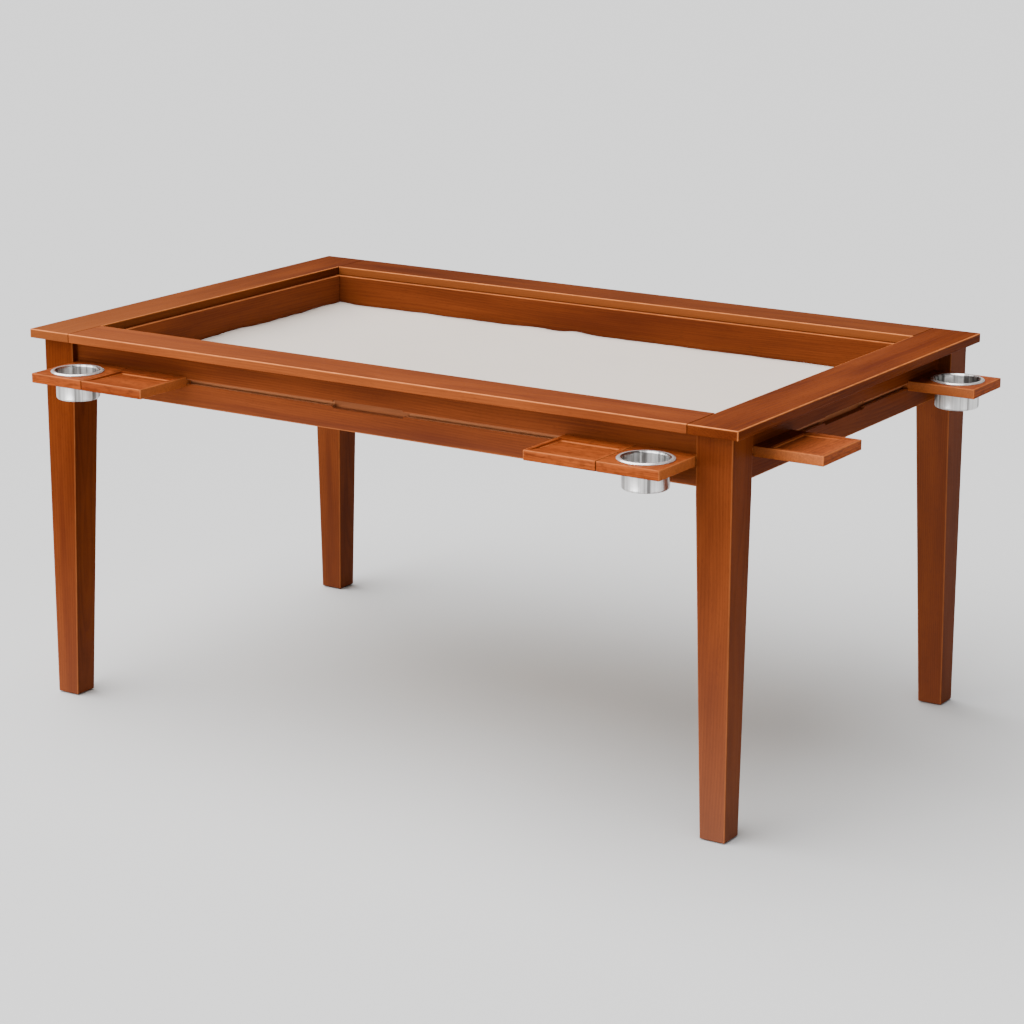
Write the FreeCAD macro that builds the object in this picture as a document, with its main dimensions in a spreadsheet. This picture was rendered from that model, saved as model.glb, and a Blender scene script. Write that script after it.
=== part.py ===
import FreeCAD, Part
import math
import os

import Sketcher

# A wooden games table. Four boards frame a sunken play area with a loose cloth mat, on four
# tapered legs. Each apron carries a T-shaped groove along its whole length. Cup holders and
# coin trays hang from that groove by a T-shaped tongue and slide along it.
# The origin is on the floor, under the middle of the footprint with the accessories in place.
# +X runs along the table, +Y to the back and +Z up. All sizes are in millimetres.

DRIVING_SIZES = {
    # whole table
    "table_length": 1600,
    "table_width": 1000,
    "table_height": 762,
    # rim boards around the play area
    "rim_width": 100,
    "rim_thickness": 18,
    "rim_round": 1.6,
    # legs, with a straight block behind the aprons and a taper on the two inner faces
    "leg_inset": 20,
    "leg_top_width": 72,
    "leg_foot_width": 51,
    "leg_block_height": 112,
    "leg_round": 2,
    "foot_chamfer": 1.5,
    # glides let into the feet
    "glide_diameter": 28,
    "glide_stand": 2,
    "glide_recess_depth": 3,
    "glide_gap": 0.3,
    "glide_round": 0.8,
    # aprons, set back from the legs' outer faces
    "apron_height": 100,
    "apron_thickness": 22,
    "long_apron_recess": 15,
    "end_apron_recess": 26,
    # T-shaped groove along every apron, and the wider entry in its middle
    "groove_drop": 52,
    "mouth_height": 8,
    "mouth_depth": 6,
    "channel_height": 16,
    "channel_depth": 8,
    "entry_length": 162,
    "entry_round": 4,
    # plates that hang in the groove
    "slide_gap": 0.5,
    "plate_thickness": 19,
    "plate_depth": 138,
    "plate_round": 1.5,
    "cup_plate_width": 126,
    "tray_width": 148,
    "pair_gap": 0.5,
    "leg_gap": 2,
    "end_cup_setback": 12,
    "end_tray_setback": 50,
    # scoop in the top of a tray
    "scoop_side_rim": 9,
    "scoop_back_rim": 29,
    "scoop_front_lip": 3,
    "scoop_depth": 5.5,
    "scoop_round": 2.5,
    # spun steel cup
    "cup_diameter": 85,
    "cup_wall": 1.2,
    "cup_drop": 53,
    "cup_bottom_round": 5,
    "cup_hole_gap": 1.5,
    "lip_diameter": 104,
    "lip_rise": 3.5,
    "lip_inner_turn": 2,
    "lip_outer_turn": 1.8,
    # walls and floor of the play area
    "wall_thickness": 16,
    "wall_round": 1,
    "vault_depth": 84,
    "panel_thickness": 9,
    "panel_gap": 1.5,
    "mat_thickness": 2.5,
    "mat_gap": 3,
    "bearer_width": 20,
    "bearer_height": 20,
    "cross_bearer_width": 40,
    "cross_bearer_offset": 350,
    "lap_gap": 0.5,
    # dowels from the aprons and the rim into the legs
    "dowel_diameter": 8,
    "dowel_length": 40,
    "dowel_edge": 20,
    "rim_dowel_diameter": 10,
    "rim_dowel_length": 40,
    "rim_dowel_bite": 12,
    "dowel_gap": 0.1,
    # bolts through the long walls into threaded inserts in the legs
    "bolt_diameter": 8,
    "bolt_length": 50,
    "bolt_head_flats": 13,
    "bolt_head_height": 5.3,
    "bolt_edge": 24,
    "bolt_gap": 0.4,
    "washer_diameter": 16,
    "washer_thickness": 1.6,
    "washer_gap": 2,
    "insert_diameter": 12,
    "insert_length": 15,
    "bolt_hole_spare": 4,
    # steel angles and wood screws that tie the rim to the aprons and the bearers to the walls
    "bracket_arm": 20,
    "bracket_length": 30,
    "bracket_thickness": 2,
    "bracket_hole_edge": 8,
    "long_bracket_pitch": 450,
    "end_bracket_pitch": 400,
    "screw_diameter": 4,
    "screw_head_diameter": 8,
    "screw_head_height": 2.4,
    "screw_gap": 0.1,
    "bracket_screw_length": 14,
    "bearer_screw_length": 30,
    "bearer_screw_inset": 80,
}

doc = FreeCAD.newDocument("games_table")
sheet = doc.addObject("Spreadsheet::Sheet", "Sizes")
for row, (alias, value) in enumerate(DRIVING_SIZES.items(), start=1):
    sheet.set(f"A{row}", alias)
    sheet.set(f"B{row}", str(value))
    sheet.setAlias(f"B{row}", alias)
doc.recompute()


class Size:
    """A size as a number, together with the sheet expression that gives it."""

    def __init__(self, value, text):
        self.value = float(value)
        self.text = text

    def combined(self, other, sign, value):
        other_text = other.text if isinstance(other, Size) else repr(float(other))
        return Size(value, f"({self.text} {sign} {other_text})")

    def __add__(self, other):
        return self.combined(other, "+", self.value + number(other))

    def __sub__(self, other):
        return self.combined(other, "-", self.value - number(other))

    def __mul__(self, other):
        return self.combined(other, "*", self.value * number(other))

    def __truediv__(self, other):
        return self.combined(other, "/", self.value / number(other))

    def __neg__(self):
        return self * -1


def number(size):
    """The plain number of a size or of a number."""
    return size.value if isinstance(size, Size) else float(size)


def size(alias):
    return Size(sheet.get(alias), f"Sizes.{alias}")


ZERO = Size(0, "0")

# Heights and faces that several pieces share, measured from the middle of the table.
half_length = size("table_length") / 2
half_width = size("table_width") / 2
rim_underside = size("table_height") - size("rim_thickness")
leg_outer_x = half_length - size("leg_inset")
leg_outer_y = half_width - size("leg_inset")
leg_inner_x = leg_outer_x - size("leg_top_width")
leg_inner_y = leg_outer_y - size("leg_top_width")
leg_height = rim_underside - size("glide_stand")
apron_bottom = rim_underside - size("apron_height")
long_apron_face = leg_outer_y - size("long_apron_recess")
end_apron_face = leg_outer_x - size("end_apron_recess")
long_apron_back = long_apron_face - size("apron_thickness")
end_apron_back = end_apron_face - size("apron_thickness")
groove_middle = rim_underside - size("groove_drop")
long_wall_face = leg_inner_y - size("wall_thickness")
end_wall_face = leg_inner_x - size("wall_thickness")
panel_top = size("table_height") - size("vault_depth")
bearer_top = panel_top - size("panel_thickness")
bearer_bottom = bearer_top - size("bearer_height")
plate_top = groove_middle + size("plate_thickness") / 2
low_dowel = size("dowel_edge")
high_dowel = size("apron_height") - size("dowel_edge")
low_bolt = size("bolt_edge")
high_bolt = size("apron_height") - size("bolt_edge")
bolt_place_x = end_apron_back - size("washer_diameter") / 2 - size("washer_gap")
bolt_depth = size("bolt_length") - size("wall_thickness") - size("washer_thickness")

# The accessories stand out past the front and the right edge, so the middle of the footprint
# isn't the middle of the table.
table_middle_x = -(end_apron_face + size("plate_depth") - half_length) / 2
table_middle_y = (long_apron_face + size("plate_depth") - half_width) / 2

pieces = {}


def vector(across, up, out=0):
    return FreeCAD.Vector(number(across), number(up), number(out))


def new_body(label):
    body = doc.addObject("PartDesign::Body", label)
    body.Label = label
    pieces[label] = body
    return body


def place(body, across, back, up, turn=0):
    """Sets a body at a place measured from the middle of the table, turned about +Z."""
    body.Placement = FreeCAD.Placement(vector(ZERO, ZERO), FreeCAD.Rotation(vector(0, 0, 1), turn))
    body.setExpression("Placement.Base.x", (table_middle_x + across).text)
    body.setExpression("Placement.Base.y", (table_middle_y + back).text)
    body.setExpression("Placement.Base.z", up.text)


def new_sketch(body, name, plane, offset=ZERO):
    """A sketch on one of the body's own origin planes, moved along that plane's normal."""
    sketch = body.newObject("Sketcher::SketchObject", f"{body.Label}_{name}")
    origin_plane = next(item for item in body.Origin.OriginFeatures if item.Role == plane)
    sketch.AttachmentSupport = [(origin_plane, "")]
    sketch.MapMode = "FlatFace"
    sketch.setExpression("AttachmentOffset.Base.z", offset.text)
    return sketch


def fix_point(sketch, geometry, end, across, up):
    """Holds one point of a sketch at a place that follows the sheet."""
    for kind, wanted in (("DistanceX", across), ("DistanceY", up)):
        constraint = Sketcher.Constraint(kind, -1, 1, geometry, end, wanted.value)
        index = sketch.addConstraint(constraint)
        sketch.setExpression(f"Constraints[{index}]", wanted.text)


def fix_radius(sketch, geometry, radius):
    index = sketch.addConstraint(Sketcher.Constraint("Radius", geometry, radius.value))
    sketch.setExpression(f"Constraints[{index}]", radius.text)


def step_towards(start, goal, length):
    """The point at a length from start towards goal, along a side square to the axes."""
    run = goal[0].value - start[0].value
    rise = goal[1].value - start[1].value
    if abs(run) > abs(rise):
        return (start[0] + length * math.copysign(1, run), start[1])
    return (start[0], start[1] + length * math.copysign(1, rise))


def draw_arc(sketch, start, end, radius, bulge_point):
    """An arc between two points, on the side of bulge_point. Gives its start and end marks."""
    along = vector(*start)
    towards = vector(*end)
    middle = (along + towards) / 2
    half_chord = (towards - along).Length / 2
    rise = math.sqrt(max(radius.value ** 2 - half_chord ** 2, 0))
    away = (middle - vector(*bulge_point)).normalize()
    centre = middle + away * rise
    first = math.atan2(along.y - centre.y, along.x - centre.x)
    last = math.atan2(towards.y - centre.y, towards.x - centre.x)
    anticlockwise = (last - first) % (2 * math.pi) < math.pi
    circle = Part.Circle(centre, vector(0, 0, 1), radius.value)
    angles = (first, last) if anticlockwise else (last, first)
    arc = sketch.addGeometry(Part.ArcOfCircle(circle, *angles), False)
    fix_radius(sketch, arc, radius)
    return (arc, 1, 2) if anticlockwise else (arc, 2, 1)


def outline(sketch, corners):
    """A closed outline. A corner is (across, up), with a third value where it is rounded."""
    count = len(corners)
    arrivals = []
    departures = []
    for index, corner in enumerate(corners):
        point = corner[:2]
        if len(corner) == 3:
            arrivals.append(step_towards(point, corners[index - 1], corner[2]))
            departures.append(step_towards(point, corners[(index + 1) % count], corner[2]))
        else:
            arrivals.append(point)
            departures.append(point)
    chain = []
    for index, corner in enumerate(corners):
        if len(corner) == 3:
            arc = draw_arc(sketch, arrivals[index], departures[index], corner[2], corner)
            chain.append(arc)
        following = arrivals[(index + 1) % count]
        segment = Part.LineSegment(vector(*departures[index]), vector(*following))
        line = sketch.addGeometry(segment, False)
        fix_point(sketch, line, 1, *departures[index])
        chain.append((line, 1, 2))
        if len(corners[(index + 1) % count]) == 3:
            fix_point(sketch, line, 2, *following)
    join_chain(sketch, chain)


def join_chain(sketch, chain):
    """Joins each piece of an outline to the next and closes it."""
    for index, (geometry, start, end) in enumerate(chain):
        following, following_start, following_end = chain[(index + 1) % len(chain)]
        joint = Sketcher.Constraint("Coincident", geometry, end, following, following_start)
        sketch.addConstraint(joint)


def rectangle(sketch, width, height, middle=(ZERO, ZERO)):
    left = middle[0] - width / 2
    right = middle[0] + width / 2
    low = middle[1] - height / 2
    high = middle[1] + height / 2
    outline(sketch, [(left, low), (right, low), (right, high), (left, high)])


def circles(sketch, middles, diameter):
    for across, up in middles:
        circle = Part.Circle(vector(across, up), vector(0, 0, 1), diameter.value / 2)
        geometry = sketch.addGeometry(circle, False)
        fix_radius(sketch, geometry, diameter / 2)
        fix_point(sketch, geometry, 3, across, up)


def pad(body, sketch, length, both_ways=False):
    feature = body.newObject("PartDesign::Pad", f"{sketch.Name}_pad")
    feature.Profile = sketch
    feature.setExpression("Length", length.text)
    feature.SideType = "Symmetric" if both_ways else "One side"
    doc.recompute()
    return feature


def cut(body, sketch, depth, turned=False, both_ways=False):
    """Cuts a sketch into a body, and makes sure that material came away."""
    before = body.Shape.Volume
    feature = body.newObject("PartDesign::Pocket", f"{sketch.Name}_cut")
    feature.Profile = sketch
    feature.setExpression("Length", depth.text)
    feature.SideType = "Symmetric" if both_ways else "One side"
    feature.Reversed = turned
    doc.recompute()
    if not body.Shape.Volume < before:
        raise RuntimeError(f"{feature.Name} cuts nothing")
    return feature


def drill(body, name, plane, offset, middles, diameter, depth, turned=False):
    sketch = new_sketch(body, name, plane, offset)
    circles(sketch, middles, diameter)
    return cut(body, sketch, depth, turned)


def mirror(body, feature, plane):
    """Repeats a cut on the far side of one of the body's origin planes."""
    copy = body.newObject("PartDesign::Mirrored", f"{feature.Name}_mirror")
    copy.Originals = [feature]
    origin_plane = next(item for item in body.Origin.OriginFeatures if item.Role == plane)
    copy.MirrorPlane = (origin_plane, [""])
    body.Tip = copy
    doc.recompute()
    return copy


def edges_where(body, wanted):
    """Names of a body's edges whose middle point passes the test, in the body's own frame."""
    tip = body.Tip
    names = []
    for index, edge in enumerate(tip.Shape.Edges, start=1):
        middle = edge.valueAt((edge.FirstParameter + edge.LastParameter) / 2)
        if wanted(middle, edge):
            names.append(f"Edge{index}")
    return names


def ease(body, kind, amount, wanted=None):
    """Rounds (Fillet) or bevels (Chamfer) all edges of a body, or those that pass a test."""
    tip = body.Tip
    names = edges_where(body, wanted) if wanted else []
    feature = body.newObject(f"PartDesign::{kind}", f"{body.Label}_{kind.lower()}")
    feature.Base = (tip, names)
    feature.UseAllEdges = wanted is None
    feature.setExpression("Radius" if kind == "Fillet" else "Size", amount.text)
    doc.recompute()
    return feature


def board(label, length, width, height, rounding=None):
    """A board that lies along X, centred, with its underside at zero."""
    body = new_body(label)
    section = new_sketch(body, "outline", "XY_Plane")
    rectangle(section, length, width)
    pad(body, section, height)
    if rounding:
        ease(body, "Fillet", rounding)
    return body


def group(label, solids):
    """Like pieces in one node, each a separate solid, placed from the middle of the table."""
    feature = doc.addObject("Part::Feature", label)
    feature.Label = label
    feature.Shape = Part.makeCompound(solids)
    feature.Placement = FreeCAD.Placement(vector(table_middle_x, table_middle_y), FreeCAD.Rotation())
    pieces[label] = feature
    return feature


# Corners of the table: name, side of X, side of Y and the turn that brings a leg's outer corner there.
CORNERS = (
    ("front_left", -1, -1, 0),
    ("front_right", 1, -1, 90),
    ("back_right", 1, 1, 180),
    ("back_left", -1, 1, 270),
)


def make_leg(name, side_x, side_y, turn):
    """A square leg whose outer corner is upright and whose inner faces taper to the foot."""
    body = new_body(f"leg_{name}")
    top_width = size("leg_top_width")
    foot_width = size("leg_foot_width")
    taper_top = leg_height - size("leg_block_height")
    foot = new_sketch(body, "foot", "XY_Plane")
    rectangle(foot, foot_width, foot_width, (foot_width / 2, foot_width / 2))
    knee = new_sketch(body, "knee", "XY_Plane", taper_top)
    rectangle(knee, top_width, top_width, (top_width / 2, top_width / 2))
    taper = body.newObject("PartDesign::AdditiveLoft", f"{body.Label}_taper")
    taper.Profile = foot
    taper.Sections = [knee]
    taper.Ruled = True
    doc.recompute()
    block = new_sketch(body, "block", "XY_Plane", taper_top)
    rectangle(block, top_width, top_width, (top_width / 2, top_width / 2))
    pad(body, block, size("leg_block_height"))
    ease(body, "Fillet", size("leg_round"), lambda middle, edge: upright(edge, leg_height.value))
    ease(body, "Chamfer", size("foot_chamfer"), lambda middle, edge: abs(middle.z) < 0.01)
    drill_leg(body, side_x * side_y > 0)
    place(body, leg_outer_x * side_x, leg_outer_y * side_y, size("glide_stand"), turn)


def upright(edge, height):
    """Whether an edge runs up the leg, straight or along the taper."""
    rise = abs(edge.Vertexes[-1].Point.z - edge.Vertexes[0].Point.z)
    run = math.hypot(edge.Vertexes[-1].Point.x - edge.Vertexes[0].Point.x,
                     edge.Vertexes[-1].Point.y - edge.Vertexes[0].Point.y)
    return rise > height / 20 and run < rise / 2


def drill_leg(body, long_apron_on_x):
    """Holes for the apron dowels, the wall bolts with their inserts, the rim dowel and the glide."""
    top_width = size("leg_top_width")
    floor = leg_height - size("apron_height")
    long_line = size("long_apron_recess") + size("apron_thickness") / 2
    end_line = size("end_apron_recess") + size("apron_thickness") / 2
    line_on_x, line_on_y = (long_line, end_line) if long_apron_on_x else (end_line, long_line)
    dowel_hole = size("dowel_diameter") + size("dowel_gap") * 2
    heights = (floor + low_dowel, floor + high_dowel)
    drill(body, "dowels_on_x", "YZ_Plane", top_width, [(line_on_x, height) for height in heights],
          dowel_hole, size("dowel_length") / 2)
    drill(body, "dowels_on_y", "XZ_Plane", -top_width, [(line_on_y, height) for height in heights],
          dowel_hole, size("dowel_length") / 2, turned=True)
    bolt_line = leg_outer_x - bolt_place_x
    bolts = [(bolt_line, floor + low_bolt), (bolt_line, floor + high_bolt)]
    wall_plane = ("XZ_Plane", -top_width, True) if long_apron_on_x else ("YZ_Plane", top_width, False)
    plane, offset, turned = wall_plane
    drill(body, "inserts", plane, offset, bolts,
          size("insert_diameter") + size("dowel_gap") * 2, size("insert_length"), turned)
    drill(body, "bolts", plane, offset, bolts,
          size("bolt_diameter") + size("bolt_gap") * 2, bolt_depth + size("bolt_hole_spare"), turned)
    drill(body, "rim_dowel", "XY_Plane", leg_height, [(top_width / 2, top_width / 2)],
          size("rim_dowel_diameter") + size("dowel_gap") * 2,
          size("rim_dowel_length") - size("rim_dowel_bite"))
    foot_middle = size("leg_foot_width") / 2
    drill(body, "glide", "XY_Plane", ZERO, [(foot_middle, foot_middle)],
          size("glide_diameter") + size("glide_gap") * 2, size("glide_recess_depth"), turned=True)


def make_apron(label, length, screw_places):
    """An apron along X. Its outer face is at Y zero and its underside at Z zero."""
    body = new_body(label)
    thick = size("apron_thickness")
    high = size("apron_height")
    middle = high - size("groove_drop")
    mouth = size("mouth_height") / 2
    channel = size("channel_height") / 2
    mouth_back = size("mouth_depth")
    channel_back = mouth_back + size("channel_depth")
    section = new_sketch(body, "section", "YZ_Plane")
    outline(section, [
        (ZERO, ZERO), (thick, ZERO), (thick, high), (ZERO, high),
        (ZERO, middle + mouth), (mouth_back, middle + mouth),
        (mouth_back, middle + channel), (channel_back, middle + channel),
        (channel_back, middle - channel), (mouth_back, middle - channel),
        (mouth_back, middle - mouth), (ZERO, middle - mouth),
    ])
    pad(body, section, length, both_ways=True)
    entry = new_sketch(body, "entry", "XZ_Plane")
    half_entry = size("entry_length") / 2
    corner = size("entry_round")
    outline(entry, [
        (-half_entry, middle - channel, corner), (half_entry, middle - channel, corner),
        (half_entry, middle + channel, corner), (-half_entry, middle + channel, corner),
    ])
    cut(body, entry, mouth_back)
    dowels = drill(body, "dowels", "YZ_Plane", length / 2,
                   [(thick / 2, low_dowel), (thick / 2, high_dowel)],
                   size("dowel_diameter") + size("dowel_gap") * 2, size("dowel_length") / 2)
    mirror(body, dowels, "YZ_Plane")
    screw_height = high - size("bracket_hole_edge") - size("bracket_thickness")
    drill(body, "bracket_screws", "XZ_Plane", -thick, [(place_x, screw_height) for place_x in screw_places],
          size("screw_diameter") + size("screw_gap") * 2,
          size("bracket_screw_length") - size("bracket_thickness"), turned=True)
    return body


def make_aprons():
    long_places = (-size("long_bracket_pitch"), ZERO, size("long_bracket_pitch"))
    end_places = (-size("end_bracket_pitch") / 2, size("end_bracket_pitch") / 2)
    long_length = leg_inner_x * 2
    end_length = leg_inner_y * 2
    place(make_apron("apron_front", long_length, long_places), ZERO, -long_apron_face, apron_bottom, 0)
    place(make_apron("apron_back", long_length, long_places), ZERO, long_apron_face, apron_bottom, 180)
    place(make_apron("apron_right", end_length, end_places), end_apron_face, ZERO, apron_bottom, 90)
    place(make_apron("apron_left", end_length, end_places), -end_apron_face, ZERO, apron_bottom, 270)


def make_rim():
    """Two end boards over the full width, with the two long rails butted between them."""
    width = size("rim_width")
    thick = size("rim_thickness")
    screw_inset = size("bracket_hole_edge") + size("bracket_thickness")
    screw_hole = size("screw_diameter") + size("screw_gap") * 2
    screw_depth = size("bracket_screw_length") - size("bracket_thickness")
    rail_middle = half_width - width / 2
    end_middle = half_length - width / 2
    rail_screw_line = rail_middle - long_apron_back + screw_inset
    end_screw_line = end_middle - end_apron_back + screw_inset
    leg_line = end_middle - (leg_outer_x - size("leg_top_width") / 2)
    leg_reach = leg_outer_y - size("leg_top_width") / 2
    for label, side, turn in (("rim_front", -1, 0), ("rim_back", 1, 180)):
        body = board(label, size("table_length") - width * 2, width, thick, size("rim_round"))
        places = (-size("long_bracket_pitch"), ZERO, size("long_bracket_pitch"))
        drill(body, "screws", "XY_Plane", ZERO, [(along, rail_screw_line) for along in places],
              screw_hole, screw_depth, turned=True)
        place(body, ZERO, rail_middle * side, rim_underside, turn)
    for label, side, turn in (("rim_right", 1, 90), ("rim_left", -1, 270)):
        body = board(label, size("table_width"), width, thick, size("rim_round"))
        places = (-size("end_bracket_pitch") / 2, size("end_bracket_pitch") / 2)
        drill(body, "screws", "XY_Plane", ZERO, [(along, end_screw_line) for along in places],
              screw_hole, screw_depth, turned=True)
        drill(body, "dowels", "XY_Plane", ZERO, [(-leg_reach, leg_line), (leg_reach, leg_line)],
              size("rim_dowel_diameter") + size("dowel_gap") * 2, size("rim_dowel_bite"), turned=True)
        place(body, end_middle * side, ZERO, rim_underside, turn)


def screw_places_on(is_long):
    """Where the bearer screws are along a bearer, from its middle."""
    reach = (end_wall_face if is_long else long_wall_face) - size("bearer_screw_inset")
    if is_long:
        return (-reach, -reach / 3, reach / 3, reach)
    return (-reach, reach)


def make_walls():
    """Walls of the play area. The long ones run behind the legs and are bolted to them."""
    thick = size("wall_thickness")
    high = size("apron_height")
    bearer_line = bearer_bottom + size("bearer_height") / 2 - apron_bottom
    screw_bite = size("bearer_screw_length") - size("bearer_width")
    screw_hole = size("screw_diameter") + size("screw_gap") * 2
    for label, side, turn in (("wall_front", -1, 0), ("wall_back", 1, 180)):
        body = board(label, end_apron_back * 2, thick, high, size("wall_round"))
        bolts = [(bolt_place_x * end, height) for end in (-1, 1) for height in (low_bolt, high_bolt)]
        drill(body, "bolts", "XZ_Plane", thick / 2, bolts,
              size("bolt_diameter") + size("bolt_gap") * 2, thick)
        screws = [(along, bearer_line) for along in screw_places_on(True)]
        drill(body, "screws", "XZ_Plane", -(thick / 2), screws, screw_hole, screw_bite, turned=True)
        place(body, ZERO, (leg_inner_y - thick / 2) * side, apron_bottom, turn)
    for label, side, turn in (("wall_right", 1, 90), ("wall_left", -1, 270)):
        body = board(label, long_wall_face * 2, thick, high, size("wall_round"))
        screws = [(along, bearer_line) for along in screw_places_on(False)]
        drill(body, "screws", "XZ_Plane", -(thick / 2), screws, screw_hole, screw_bite, turned=True)
        place(body, (leg_inner_x - thick / 2) * side, ZERO, apron_bottom, turn)


def make_bearers():
    """Bearers under the play panel, with two cross bearers half-lapped into the long ones."""
    width = size("bearer_width")
    high = size("bearer_height")
    lap = high / 2
    cross_width = size("cross_bearer_width")
    screw_hole = size("screw_diameter") + size("screw_gap") * 2
    for label, side, turn in (("bearer_front", -1, 0), ("bearer_back", 1, 180)):
        body = board(label, end_wall_face * 2, width, high)
        for end in (-1, 1):
            notch = new_sketch(body, f"lap_{end + 1}", "XY_Plane", high)
            middle = (size("cross_bearer_offset") * end, ZERO)
            rectangle(notch, cross_width + size("lap_gap") * 2, width + lap, middle)
            cut(body, notch, lap)
        screws = [(along, high / 2) for along in screw_places_on(True)]
        drill(body, "screws", "XZ_Plane", width / 2, screws, screw_hole, width)
        place(body, ZERO, (long_wall_face - width / 2) * side, bearer_bottom, turn)
    for label, side, turn in (("bearer_right", 1, 90), ("bearer_left", -1, 270)):
        body = board(label, (long_wall_face - width) * 2, width, high)
        screws = [(along, high / 2) for along in screw_places_on(False)]
        drill(body, "screws", "XZ_Plane", width / 2, screws, screw_hole, width)
        place(body, (end_wall_face - width / 2) * side, ZERO, bearer_bottom, turn)
    for label, side in (("cross_bearer_left", -1), ("cross_bearer_right", 1)):
        body = board(label, long_wall_face * 2, cross_width, high)
        for end in (-1, 1):
            rebate = new_sketch(body, f"rebate_{end + 1}", "XY_Plane")
            middle = (long_wall_face * end, ZERO)
            rectangle(rebate, (width + size("lap_gap")) * 2, cross_width + lap, middle)
            cut(body, rebate, lap, turned=True)
        place(body, size("cross_bearer_offset") * side, ZERO, bearer_bottom, 90)


def make_floor():
    """The play panel, loose on its bearers, and the cloth mat that lies on it."""
    panel_gap = size("panel_gap")
    panel = board("play_panel", (end_wall_face - panel_gap) * 2, (long_wall_face - panel_gap) * 2,
                  size("panel_thickness"))
    place(panel, ZERO, ZERO, bearer_top)
    mat_gap = size("mat_gap")
    mat = board("play_mat", (end_wall_face - mat_gap) * 2, (long_wall_face - mat_gap) * 2,
                size("mat_thickness"))
    place(mat, ZERO, ZERO, panel_top)


def hanging_plate(label, width):
    """A plate with a T-shaped tongue along its back edge. Y zero is the apron's outer face."""
    body = new_body(label)
    gap = size("slide_gap")
    half = size("plate_thickness") / 2
    neck = size("mouth_height") / 2 - gap
    head = size("channel_height") / 2 - gap
    head_front = size("mouth_depth") + gap
    head_back = size("mouth_depth") + size("channel_depth") - gap
    section = new_sketch(body, "section", "YZ_Plane")
    outline(section, [
        (-size("plate_depth"), -half), (-gap, -half), (-gap, -neck), (head_front, -neck),
        (head_front, -head), (head_back, -head), (head_back, head), (head_front, head),
        (head_front, neck), (-gap, neck), (-gap, half), (-size("plate_depth"), half),
    ])
    pad(body, section, width, both_ways=True)
    ease(body, "Fillet", size("plate_round"), lambda middle, edge: middle.y < -gap.value - 1)
    return body


def make_cup_plate(label):
    """The plate of a cup holder, with a round hole as far from the front as from both sides."""
    body = hanging_plate(label, size("cup_plate_width"))
    half = size("plate_thickness") / 2
    hole_middle = size("cup_plate_width") / 2 - size("plate_depth")
    hole = size("cup_diameter") + size("cup_hole_gap") * 2
    drill(body, "hole", "XY_Plane", half, [(ZERO, hole_middle)], hole, size("plate_thickness"))
    return body


def make_tray(label):
    """A tray whose scooped floor is deepest at the back and rises in one arc to the front lip."""
    body = hanging_plate(label, size("tray_width"))
    top = size("plate_thickness") / 2
    back = -size("scoop_back_rim")
    front = size("scoop_front_lip") - size("plate_depth")
    floor = top - size("scoop_depth")
    clear = top + size("scoop_depth")
    run = back - front
    radius = (run * run / size("scoop_depth") + size("scoop_depth")) / 2
    scoop = new_sketch(body, "scoop", "YZ_Plane")
    arc, arc_start, arc_end = draw_arc(scoop, (back, floor), (front, top), radius, (front, floor))
    chain = [(arc, arc_start, arc_end)]
    stops = [(front, top), (front, clear), (back, clear), (back, floor)]
    for first, second in zip(stops, stops[1:]):
        line = scoop.addGeometry(Part.LineSegment(vector(*first), vector(*second)), False)
        fix_point(scoop, line, 1, *first)
        chain.append((line, 1, 2))
    fix_point(scoop, chain[-1][0], 2, *stops[-1])
    join_chain(scoop, chain)
    cut(body, scoop, size("tray_width") - size("scoop_side_rim") * 2, both_ways=True)
    return body


def make_cup(label):
    """A spun cup: flat bottom, straight wall and a lip that rolls out and down onto the plate."""
    body = new_body(label)
    wall = size("cup_wall")
    outer = size("cup_diameter") / 2
    inner = outer - wall
    bottom = -size("cup_drop")
    lip = size("lip_diameter") / 2
    rise = size("lip_rise")
    inner_turn = size("lip_inner_turn")
    outer_turn = size("lip_outer_turn")
    bottom_round = size("cup_bottom_round")
    profile = new_sketch(body, "profile", "XZ_Plane")
    outline(profile, [
        (ZERO, bottom), (outer, bottom, bottom_round), (outer, rise - wall, inner_turn),
        (lip - wall, rise - wall, outer_turn), (lip - wall, ZERO), (lip, ZERO),
        (lip, rise, outer_turn + wall), (inner, rise, inner_turn + wall),
        (inner, bottom + wall, bottom_round - wall), (ZERO, bottom + wall),
    ])
    turn = body.newObject("PartDesign::Revolution", f"{body.Label}_turn")
    turn.Profile = profile
    turn.ReferenceAxis = (profile, ["V_Axis"])
    turn.Angle = 360
    doc.recompute()
    return body


def make_accessories():
    """Two touching pairs on the front apron, and a tray and a cup holder on the right one."""
    cup_half = size("cup_plate_width") / 2
    tray_half = size("tray_width") / 2
    cup_place = leg_inner_x - size("leg_gap") - cup_half
    tray_place = cup_place - cup_half - size("pair_gap") - tray_half
    end_cup_place = leg_inner_y - size("end_cup_setback") - cup_half
    end_tray_place = leg_inner_y - size("end_tray_setback") - tray_half
    cup_reach = size("plate_depth") - cup_half
    for name, side in (("front_left", -1), ("front_right", 1)):
        plate = make_cup_plate(f"cup_plate_{name}")
        place(plate, cup_place * side, -long_apron_face, groove_middle)
        cup = make_cup(f"cup_{name}")
        place(cup, cup_place * side, -(long_apron_face + cup_reach), plate_top)
        tray = make_tray(f"tray_{name}")
        place(tray, tray_place * side, -long_apron_face, groove_middle)
    place(make_cup_plate("cup_plate_end"), end_apron_face, end_cup_place, groove_middle, 90)
    place(make_cup("cup_end"), end_apron_face + cup_reach, end_cup_place, plate_top)
    place(make_tray("tray_end"), end_apron_face, -end_tray_place, groove_middle, 90)


def rod(start, direction, diameter, length):
    return Part.makeCylinder(number(diameter) / 2, number(length), start, direction)


def ring(start, direction, diameter, hole, length):
    return rod(start, direction, diameter, length).cut(rod(start, direction, hole, length))


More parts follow.
